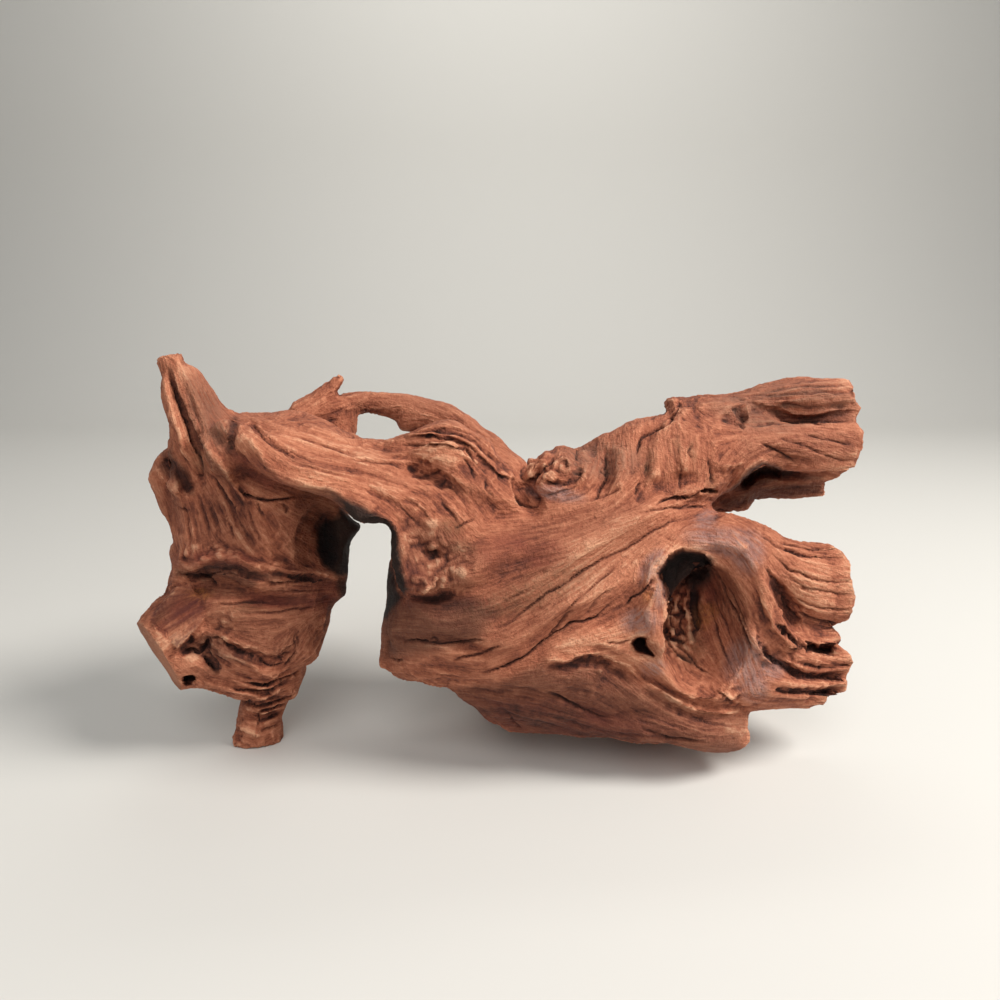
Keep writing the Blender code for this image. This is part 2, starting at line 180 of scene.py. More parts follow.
def to_pixels(points):
    """The pixel of each point in the photograph, and its distance along the view."""
    offset = points - CAMERA_PLACE
    ahead = offset[:, 1] * math.cos(CAMERA_TILT) - offset[:, 2] * math.sin(CAMERA_TILT)
    up = offset[:, 1] * math.sin(CAMERA_TILT) + offset[:, 2] * math.cos(CAMERA_TILT)
    ahead = np.maximum(ahead, CLOSEST)
    across = PHOTO / 2 + FOCAL * offset[:, 0] / ahead
    down = PHOTO / 2 - FOCAL * up / ahead
    return np.stack((across, down), axis=1), ahead


def seen_points(skin, node):
    """1 for each point that the photograph's camera sees, else 0."""
    graph = bpy.context.evaluated_depsgraph_get()
    tree = BVHTree.FromObject(node, graph)
    eye = Vector(CAMERA_PLACE)
    offset = skin.points - CAMERA_PLACE
    far = np.linalg.norm(offset, axis=1)
    aim = offset / far[:, None]
    facing = np.einsum("ij,ij->i", skin.normals, aim) < FACING_LIMIT
    seen = np.zeros(len(far))
    for index in np.nonzero(facing)[0]:
        place, _, _, hit = tree.ray_cast(eye, Vector(aim[index]))
        if place is None or hit > far[index] - HIDDEN_DEPTH:
            seen[index] = 1.0
    return seen


# Noise

NOISE_CELLS = 64
NOISE_OFFSET = 31.4
STREAK_TAPS = 9


def lattice_noise(points, size, seed):
    """Smooth noise, about -1 to 1, with lumps of the given size in metres."""
    draw = np.random.default_rng(seed)
    table = draw.uniform(-1, 1, (NOISE_CELLS,) * 3)
    turn, _ = np.linalg.qr(draw.normal(size=(3, 3)))
    place = (points @ turn) / size + NOISE_OFFSET
    cell = np.floor(place).astype(np.int64)
    part = place - cell
    part = part * part * (3 - 2 * part)
    low = cell % NOISE_CELLS
    high = (cell + 1) % NOISE_CELLS
    total = 0.0
    for i, (xs, wx) in enumerate(((low[:, 0], 1 - part[:, 0]), (high[:, 0], part[:, 0]))):
        for ys, wy in ((low[:, 1], 1 - part[:, 1]), (high[:, 1], part[:, 1])):
            for zs, wz in ((low[:, 2], 1 - part[:, 2]), (high[:, 2], part[:, 2])):
                total = total + table[xs, ys, zs] * wx * wy * wz
    return total


def streaks(points, along, size, length, seed):
    """Noise of spread 1, drawn out along the grain to the given width and length in metres."""
    total = 0.0
    for step in np.linspace(-1, 1, STREAK_TAPS):
        total = total + lattice_noise(points + along * (step * length), size, seed)
    return total / total.std()


# Grain: which way the fibres run

# On the front: lines along the fibres, in pixels of the photograph
FRONT_GRAIN = [
    # Spire and the strips beside it
    [(172, 360), (186, 405), (200, 450), (212, 480)],
    [(184, 362), (206, 400), (226, 430), (234, 448)],
    [(164, 372), (172, 415), (182, 450), (198, 476)],
    [(196, 405), (214, 450), (238, 488), (250, 520)],
    # Trunk under the spire
    [(176, 480), (186, 515), (192, 552)],
    [(208, 482), (224, 512), (242, 538)],
    [(222, 490), (238, 522), (254, 548)],
    [(152, 482), (164, 508), (172, 545)],
    [(232, 460), (250, 482), (290, 494)],
    [(262, 512), (284, 545), (312, 568), (344, 580)],
    [(290, 500), (316, 512), (336, 520)],
    # Ledge and the neck to the doorway
    [(174, 562), (205, 566), (240, 560), (270, 572), (340, 580)],
    [(180, 580), (230, 592), (290, 588), (340, 584)],
    [(208, 608), (262, 604), (336, 598)],
    [(212, 618), (262, 622), (318, 612)],
    # Cut stub
    [(156, 632), (180, 616), (203, 601)],
    [(166, 646), (190, 628), (208, 612)],
    # Wrinkles under the stub and around the foot
    [(214, 634), (238, 650), (262, 664), (286, 662), (300, 640)],
    [(300, 640), (310, 622), (320, 612)],
    [(212, 655), (240, 672), (275, 680), (300, 668)],
    [(184, 668), (205, 684), (236, 690), (270, 690), (294, 678)],
    [(244, 704), (264, 708), (290, 696)],
    [(244, 718), (262, 724), (280, 714)],
    [(240, 740), (258, 748), (278, 736)],
    # Beam: top strand, strap and folds
    [(240, 412), (262, 424), (300, 432), (345, 446), (392, 462)],
    [(242, 430), (264, 446), (292, 466), (334, 474), (372, 480), (420, 488)],
    [(238, 440), (262, 470), (300, 486), (344, 494), (376, 508), (398, 530), (412, 556)],
    [(378, 488), (404, 508), (424, 532), (436, 556)],
    [(400, 470), (424, 490), (446, 512), (462, 530)],
    [(402, 437), (430, 429), (462, 431), (480, 444), (500, 470), (524, 482)],
    [(408, 446), (446, 448), (468, 456), (486, 472)],
    [(424, 462), (450, 470), (470, 490), (486, 512)],
    [(478, 470), (492, 490), (506, 502)],
    # Rear arch, horn and post
    [(336, 402), (368, 395), (410, 397), (452, 414), (492, 444), (520, 460)],
    [(292, 412), (318, 396), (342, 379)],
    [(352, 408), (354, 440)],
    # Body: the fibres rise to the right
    [(396, 656), (440, 660), (482, 664), (530, 648), (566, 620), (600, 606)],
    [(398, 636), (450, 640), (500, 630), (540, 606), (580, 580)],
    [(404, 604), (450, 606), (490, 600), (520, 586)],
    [(470, 560), (510, 552), (560, 540), (610, 520), (660, 504)],
    [(500, 520), (550, 514), (610, 500), (640, 486)],
    [(560, 600), (600, 572), (650, 540), (700, 514)],
    [(580, 606), (606, 580), (636, 552)],
    [(560, 640), (600, 622), (630, 604), (650, 584)],
    [(400, 676), (460, 684), (520, 684), (570, 676)],
    [(410, 560), (414, 586)],
    [(446, 560), (450, 590)],
    # Round the knob
    [(524, 462), (520, 480), (530, 500), (560, 502), (592, 492), (604, 474), (606, 452)],
    [(548, 456), (540, 474), (556, 488), (584, 480), (592, 462), (580, 448)],
    # Shoulder: upright fibres that fan out into the upper stub
    [(622, 440), (624, 470), (612, 500)],
    [(646, 430), (648, 465), (640, 496)],
    [(668, 408), (664, 440), (672, 480)],
    [(690, 400), (700, 430), (698, 476)],
    [(714, 486), (728, 460), (748, 440), (774, 436)],
    [(728, 488), (750, 462), (776, 448), (800, 452), (850, 468)],
    [(770, 432), (810, 434), (858, 452)],
    [(700, 404), (740, 398), (800, 386), (850, 384)],
    [(744, 402), (790, 406), (856, 400)],
    [(746, 420), (800, 420), (856, 420)],
    [(690, 420), (712, 430), (740, 432)],
    [(740, 494), (780, 488), (822, 488)],
    # Rim of the knot hollow: fibres square to it on its left, along it on its right
    [(674, 532), (662, 552), (648, 590)],
    [(640, 560), (650, 580)],
    [(700, 524), (730, 530), (756, 556), (770, 600), (786, 634), (812, 650)],
    [(690, 548), (724, 552), (746, 576)],
    # Inside the hollow
    [(712, 566), (728, 610), (744, 652), (756, 694)],
    [(696, 600), (712, 640), (734, 684)],
    [(668, 590), (672, 630), (690, 668), (722, 690)],
    # Lower stub: a fan to its right edge
    [(736, 516), (784, 544), (846, 556)],
    [(760, 532), (796, 568), (850, 584)],
    [(770, 556), (800, 592), (850, 606)],
    [(778, 590), (802, 616), (836, 626)],
    [(776, 624), (800, 646), (846, 660)],
    [(760, 640), (790, 668), (846, 670)],
    [(770, 686), (806, 690), (844, 688)],
    [(756, 702), (800, 702), (824, 700)],
    # Bottom lip and underside
    [(640, 676), (668, 700), (704, 714), (742, 712)],
    [(560, 668), (600, 682), (640, 712), (700, 734), (744, 734)],
    [(480, 694), (540, 704), (600, 724), (650, 742), (716, 746)],
    [(630, 640), (600, 646), (560, 652)],
]

# On the sides, back, top and underside: lines through the limbs, in millimetres
LIMB_GRAIN = [
    [(-75, -6, 99), (-76, -6, 74), (-78, -8, 50), (-78, -10, 28), (-78, -8, 16), (-81, -8, 0)],
    [(-84, -16, 85), (-88, -18, 108), (-93, -19, 124)],
    [(-79, -14, 39), (-104, -21, 34)],
    [(-82, -14, 98), (-56, -14, 96), (-38, -16, 90), (-20, -14, 79), (4, -8, 66)],
    [(-33, -16, 97), (-18, -20, 98), (-7, -20, 89), (7, -10, 74)],
    [(-74, 6, 97), (-59, 20, 105), (-37, 28, 105), (-17, 22, 99), (2, 7, 82), (10, 0, 72)],
    [(-68, 15, 103), (-55, 20, 116)],
    [(-55, 21, 106), (-62, 6, 74)],
    [(-37, 0, 45), (-12, -5, 62), (16, -6, 70), (40, -6, 80), (60, -4, 92)],
    [(-35, 8, 41), (0, 14, 45), (35, 10, 42), (60, 0, 48)],
    [(0, -15, 22), (35, -25, 20), (72, -25, 15)],
    [(40, -6, 86), (60, -2, 95), (106, 2, 102)],
    [(55, -18, 43), (80, -16, 46), (102, -13, 44)],
    [(1, 6, 38), (7, 29, 16), (9, 37, 0)],
    [(30, -4, 10), (56, -7, 8)],
    [(32, 6, 58), (43, 28, 62)],
]
GRAIN_REFERENCE = np.array((0.9, 0.25, -0.5))
FRONT_GRAIN_REACH = 9.0
LIMB_GRAIN_REACH = 7.0 * MM
GRAIN_TURNS = 6


def nearest_on_line(points, line):
    """Each point's distance to a line, its share of the way along it, and the line's direction there."""
    line = np.asarray(line, dtype=float)
    best = np.full(len(points), np.inf)
    along = np.zeros(len(points))
    piece = np.zeros(len(points), dtype=np.int64)
    steps = np.diff(line, axis=0)
    lengths = np.sqrt((steps * steps).sum(axis=1))
    steps = steps / lengths[:, None]
    start = 0.0
    for index, length in enumerate(lengths):
        place = np.zeros(len(points))
        for axis in range(line.shape[1]):
            place += (points[:, axis] - line[index, axis]) * steps[index, axis]
        place = np.clip(place, 0, length)
        gap = np.zeros(len(points))
        for axis in range(line.shape[1]):
            gap += np.square(points[:, axis] - line[index, axis] - place * steps[index, axis])
        closer = gap < best
        best = np.where(closer, gap, best)
        along = np.where(closer, (start + place) / lengths.sum(), along)
        piece = np.where(closer, index, piece)
        start += length
    return np.sqrt(best), along, steps[piece]


def front_grain(skin):
    """The fibres' direction on the front, from the lines drawn on the photograph."""
    even = np.zeros(len(skin.points))
    odd = np.zeros(len(skin.points))
    for line in FRONT_GRAIN:
        gap, _, heading = nearest_on_line(skin.pixels, line)
        weight = 1 / np.square(gap * gap + FRONT_GRAIN_REACH ** 2)
        even += weight * (heading[:, 0] ** 2 - heading[:, 1] ** 2)
        odd += weight * (2 * heading[:, 0] * heading[:, 1])
    angle = np.arctan2(odd, even) / 2
    drawn = np.cos(angle)[:, None] * RIGHT + np.sin(angle)[:, None] * DOWN
    sight = skin.points - CAMERA_PLACE
    sheet = np.cross(sight, drawn)
    return unit(np.cross(sheet, skin.normals))


def limb_grain(skin):
    """The fibres' direction from the limbs' own lines, as a 3 x 3 weight for each point."""
    total = np.zeros((len(skin.points), 3, 3))
    for line in LIMB_GRAIN:
        gap, _, heading = nearest_on_line(skin.points, np.array(line) * MM)
        weight = 1 / (gap * gap + LIMB_GRAIN_REACH ** 2) ** 3
        total += weight[:, None, None] * heading[:, :, None] * heading[:, None, :]
    return total / np.trace(total, axis1=1, axis2=2)[:, None, None]


def unit(vectors):
    return vectors / np.maximum(np.linalg.norm(vectors, axis=1), 1e-9)[:, None]


def flatten(vectors, normals):
    """The part of each vector that lies in the surface, at length 1."""
    return unit(vectors - np.einsum("ij,ij->i", vectors, normals)[:, None] * normals)


def grain_direction(skin, front):
    """The fibres' direction at each point, in the surface."""
    drawn = front_grain(skin)
    share = front[:, None, None]
    blend = share * drawn[:, :, None] * drawn[:, None, :] + (1 - share) * limb_grain(skin)
    places = ((0, 0), (0, 1), (0, 2), (1, 1), (1, 2), (2, 2))
    six = np.stack([blend[:, i, j] for i, j in places], axis=1)
    six = skin.spread(six, GRAIN_TURNS)
    order = np.array(((0, 1, 2), (1, 3, 4), (2, 4, 5)))
    _, axes = np.linalg.eigh(six[:, order])
    grain = flatten(axes[:, :, 2], skin.normals)
    sign = np.where(grain @ GRAIN_REFERENCE < 0, -1.0, 1.0)
    return grain * sign[:, None]


# Carving drawn on the photograph

# How drawn lines waver: (size in millimetres, shift in pixels)
SLOW_WOBBLE = (3.5, 1.3)
FINE_WOBBLE = (1.3, 0.7)
TAPER_POWER = 0.7
STROKE_TAPER = 0.2
FORM_TAPER = 0.15
FLUTE_TAPER = 0.35
HIDDEN_TAPER = 0.25


def wobbled(skin, seed):
    """The points' pixels, pushed about a little, so that drawn lines run unevenly like cracks."""
    pixels = skin.pixels
    for (size, reach), first in ((SLOW_WOBBLE, seed), (FINE_WOBBLE, seed + 2)):
        noise = [lattice_noise(skin.points, size * MM, first + k) for k in (0, 1)]
        pixels = pixels + np.stack(noise, axis=1) * reach
    return pixels


def stroke_weight(places, half_width, line, taper):
    """1 on a line, falling to 0 at its half width and towards its two ends."""
    line = np.asarray(line, dtype=float)
    low = line.min(axis=0) - half_width
    high = line.max(axis=0) + half_width
    near = np.nonzero(np.all((places > low) & (places < high), axis=1))[0]
    gap, along, _ = nearest_on_line(places[near], line)
    profile = np.clip(1 - (gap / half_width) ** 2, 0, None) ** 2
    if taper:
        profile = profile * np.clip(np.minimum(along, 1 - along) / taper, 0, 1) ** TAPER_POWER
    return near, profile


def carve_lines(skin, seen, lines, seed, taper=STROKE_TAPER):
    """The height in millimetres that drawn lines of (half width, height, points) add where it is seen."""
    places = wobbled(skin, seed)
    heights = np.zeros(len(skin.points))
    for half_width, height, line in lines:
        near, profile = stroke_weight(places, half_width, line, taper)
        change = profile * height
        strongest = np.abs(change) > np.abs(heights[near])
        heights[near[strongest]] = change[strongest]
    return heights * seen


# Forms, grooves and cracks on the front: (half width in pixels, height in millimetres, pixels).
# A height below 0 cuts in.
FORMS = [
    # Spire: edges of its two strips and of the fin
    (5, 0.8, [(164, 372), (168, 396), (176, 424), (184, 448), (194, 468)]),
    (5, -1.1, [(168, 369), (176, 392), (185, 416), (195, 440), (202, 460)]),
    (4, 1.2, [(173, 369), (183, 395), (196, 424), (208, 448), (222, 465), (234, 484), (243, 496),
              (252, 516)]),
    (5, -1.0, [(233, 417), (234, 430), (230, 443), (232, 454)]),
    # Left rim: its edge and the pocket inside it
    (5, 1.0, [(155, 468), (162, 477), (172, 486), (180, 497)]),
    (8, -0.8, [(168, 458), (180, 474), (190, 490)]),
    # Ledge: two lips with a recess between
    (6, 1.2, [(174, 555), (185, 563), (194, 567), (204, 559), (219, 555), (236, 558), (249, 564),
              (264, 568)]),
    (7, -1.0, [(176, 574), (193, 577), (206, 571), (221, 567), (236, 569), (251, 575), (272, 579)]),
    (6, 0.8, [(262, 560), (290, 570), (320, 574), (342, 578)]),
    (5, -0.9, [(262, 570), (286, 577), (318, 578)]),
    # Cut stub: its crevice
    (6, -1.3, [(180, 651), (192, 651), (204, 646), (209, 638)]),
    (5, -1.2, [(206, 652), (211, 660), (216, 672)]),
    (6, 1.3, [(212, 646), (226, 654), (244, 660), (262, 671), (282, 676)]),
    (6, 0.8, [(214, 636), (232, 638), (250, 652)]),
    (6, -1.2, [(226, 645), (246, 652), (262, 660), (280, 662), (294, 648)]),
    (6, -1.2, [(236, 676), (256, 684), (276, 683), (298, 670)]),
    (5, 1.1, [(196, 684), (220, 683), (240, 692), (262, 697), (286, 688)]),
    (5, -1.0, [(240, 700), (262, 705), (290, 698)]),
    (4, 0.8, [(244, 708), (266, 712), (286, 704)]),
    (4, -0.9, [(246, 716), (266, 718), (282, 712)]),
    (7, 1.2, [(240, 724), (250, 730), (260, 736)]),
    # Strap: its upper groove and its under edge
    (5, -0.8, [(250, 420), (260, 434), (278, 448), (304, 458)]),
    (9, 0.9, [(300, 468), (340, 476), (376, 486), (404, 500)]),
    (6, 1.0, [(240, 432), (254, 442), (266, 462), (284, 478), (312, 484), (344, 490)]),
    (5, 0.8, [(300, 424), (326, 432), (350, 442), (380, 444), (404, 440)]),
    (6, -0.7, [(408, 470), (420, 475), (434, 473), (442, 469)]),
    (5, 0.5, [(376, 462), (404, 462), (430, 464), (450, 472), (466, 486)]),
    # Beam fold
    (5, -0.6, [(400, 446), (432, 446), (462, 451), (476, 464), (494, 476)]),
    (5, 0.8, [(404, 436), (430, 434), (460, 438), (480, 454), (500, 474), (520, 480)]),
    # Knob: the notch and its rings
    (5, -1.2, [(526, 484), (531, 492), (540, 503)]),
    (6, 0.9, [(525, 476), (533, 468), (544, 459), (552, 452)]),
    (5, -0.9, [(526, 483), (535, 479), (546, 468), (556, 458)]),
    (4, 0.9, [(557, 462), (563, 459), (569, 463), (570, 470), (563, 473), (557, 469)]),
    (5, 0.7, [(545, 480), (549, 475), (553, 471)]),
    (4, -0.7, [(542, 481), (553, 483), (562, 485), (572, 483), (577, 474), (577, 460)]),
    (6, 0.6, [(540, 489), (556, 490), (572, 489), (584, 478), (586, 460)]),
    # Shoulder: soft upright swellings
    (9, 0.6, [(622, 448), (624, 470), (618, 492)]),
    (6, -0.2, [(610, 448), (605, 470), (600, 490)]),
    (9, 0.5, [(656, 446), (656, 470), (650, 492)]),
    (6, -0.25, [(645, 446), (646, 472), (642, 492)]),
    (9, 0.6, [(686, 446), (684, 474)]),
    (6, -0.3, [(708, 450), (711, 468), (712, 484)]),
    (5, -0.2, [(676, 438), (678, 452), (676, 476)]),
    # Upper stub: the steps of its plates
    (7, -1.3, [(738, 404), (740, 413), (742, 422)]),
    (4, 0.7, [(747, 402), (748, 414), (747, 428)]),
    (6, -0.5, [(754, 412), (784, 416), (806, 419), (830, 417), (856, 414)]),
    (4, 0.8, [(744, 397), (762, 402), (780, 406), (791, 411), (807, 414), (825, 411), (858, 407)]),
    (4, 0.6, [(734, 430), (768, 427), (800, 425), (854, 425)]),
    (5, -0.5, [(764, 446), (790, 458), (812, 464)]),
    (5, 1.1, [(724, 494), (737, 481), (751, 466), (762, 459), (776, 462), (787, 467), (816, 468),
              (850, 468)]),
    (7, -2.0, [(740, 487), (752, 476), (764, 470), (780, 474), (804, 476)]),
    # Body: one soft swell, and the drips at its left end
    (14, 0.7, [(470, 560), (520, 548), (566, 540)]),
    (3.5, 0.9, [(405, 574), (406, 590)]),
    (3.5, 0.8, [(415, 576), (414, 591)]),
    (3.5, 1.0, [(424, 576), (425, 592)]),
    (3.5, 0.9, [(434, 576), (434, 590)]),
    (4.0, 1.0, [(444, 574), (445, 590)]),
    (3.5, 0.7, [(454, 570), (456, 584)]),
    (6, -0.8, [(406, 598), (432, 600), (456, 594)]),
    # Knot hollow: rims, hole and the dish below
    (9, 1.2, [(690, 546), (716, 541), (744, 550), (758, 572)]),
    (7, 1.0, [(668, 552), (652, 566), (646, 586)]),
    (7, -1.4, [(766, 572), (778, 590), (788, 612), (800, 632)]),
    (6, 1.4, [(758, 590), (770, 612), (776, 628), (790, 642), (812, 650)]),
    (6, 1.2, [(742, 618), (752, 636), (764, 656), (776, 668)]),
    (7, 1.4, [(668, 606), (670, 624), (672, 642)]),
    (5, 1.8, [(690, 584), (685, 602), (690, 622), (690, 644)]),
    (5, -1.6, [(696, 586), (693, 604), (697, 630)]),
    (12, -0.9, [(698, 692), (716, 698)]),
    (5, 1.6, [(640, 678), (656, 688), (672, 698), (692, 707), (715, 712), (740, 711)]),
    (6, -0.8, [(640, 688), (656, 698), (672, 708), (692, 717), (715, 722)]),
    (7, 0.8, [(724, 728), (740, 734), (748, 730)]),
    # Ledge of the bottom lip
    (5, 1.0, [(540, 657), (565, 659), (577, 653), (590, 652), (606, 655), (622, 661), (634, 672),
              (645, 682)]),
    (7, -1.2, [(546, 668), (566, 669), (578, 663), (592, 662), (608, 666), (622, 674), (634, 686)]),
    (5, 0.6, [(596, 668), (602, 672), (600, 679)]),
    (8, -0.6, [(456, 690), (500, 692), (548, 692), (580, 706), (612, 717)]),
    # Jaws of the lower stub
    (6, -2.0, [(806, 646), (820, 649), (834, 650)]),
    (5, -1.2, [(760, 642), (768, 658), (784, 666), (798, 676), (820, 678), (842, 676)]),
    (5, -1.2, [(778, 626), (792, 638), (808, 650)]),
    (4, -0.8, [(800, 664), (822, 668), (846, 666)]),
    (5, -1.0, [(776, 691), (800, 693), (840, 692)]),
    (6, 0.8, [(780, 682), (810, 684), (842, 682)]),
    # Lower stub: shallow folds that fan out
    (6, -0.9, [(774, 578), (786, 598), (800, 612)]),
]

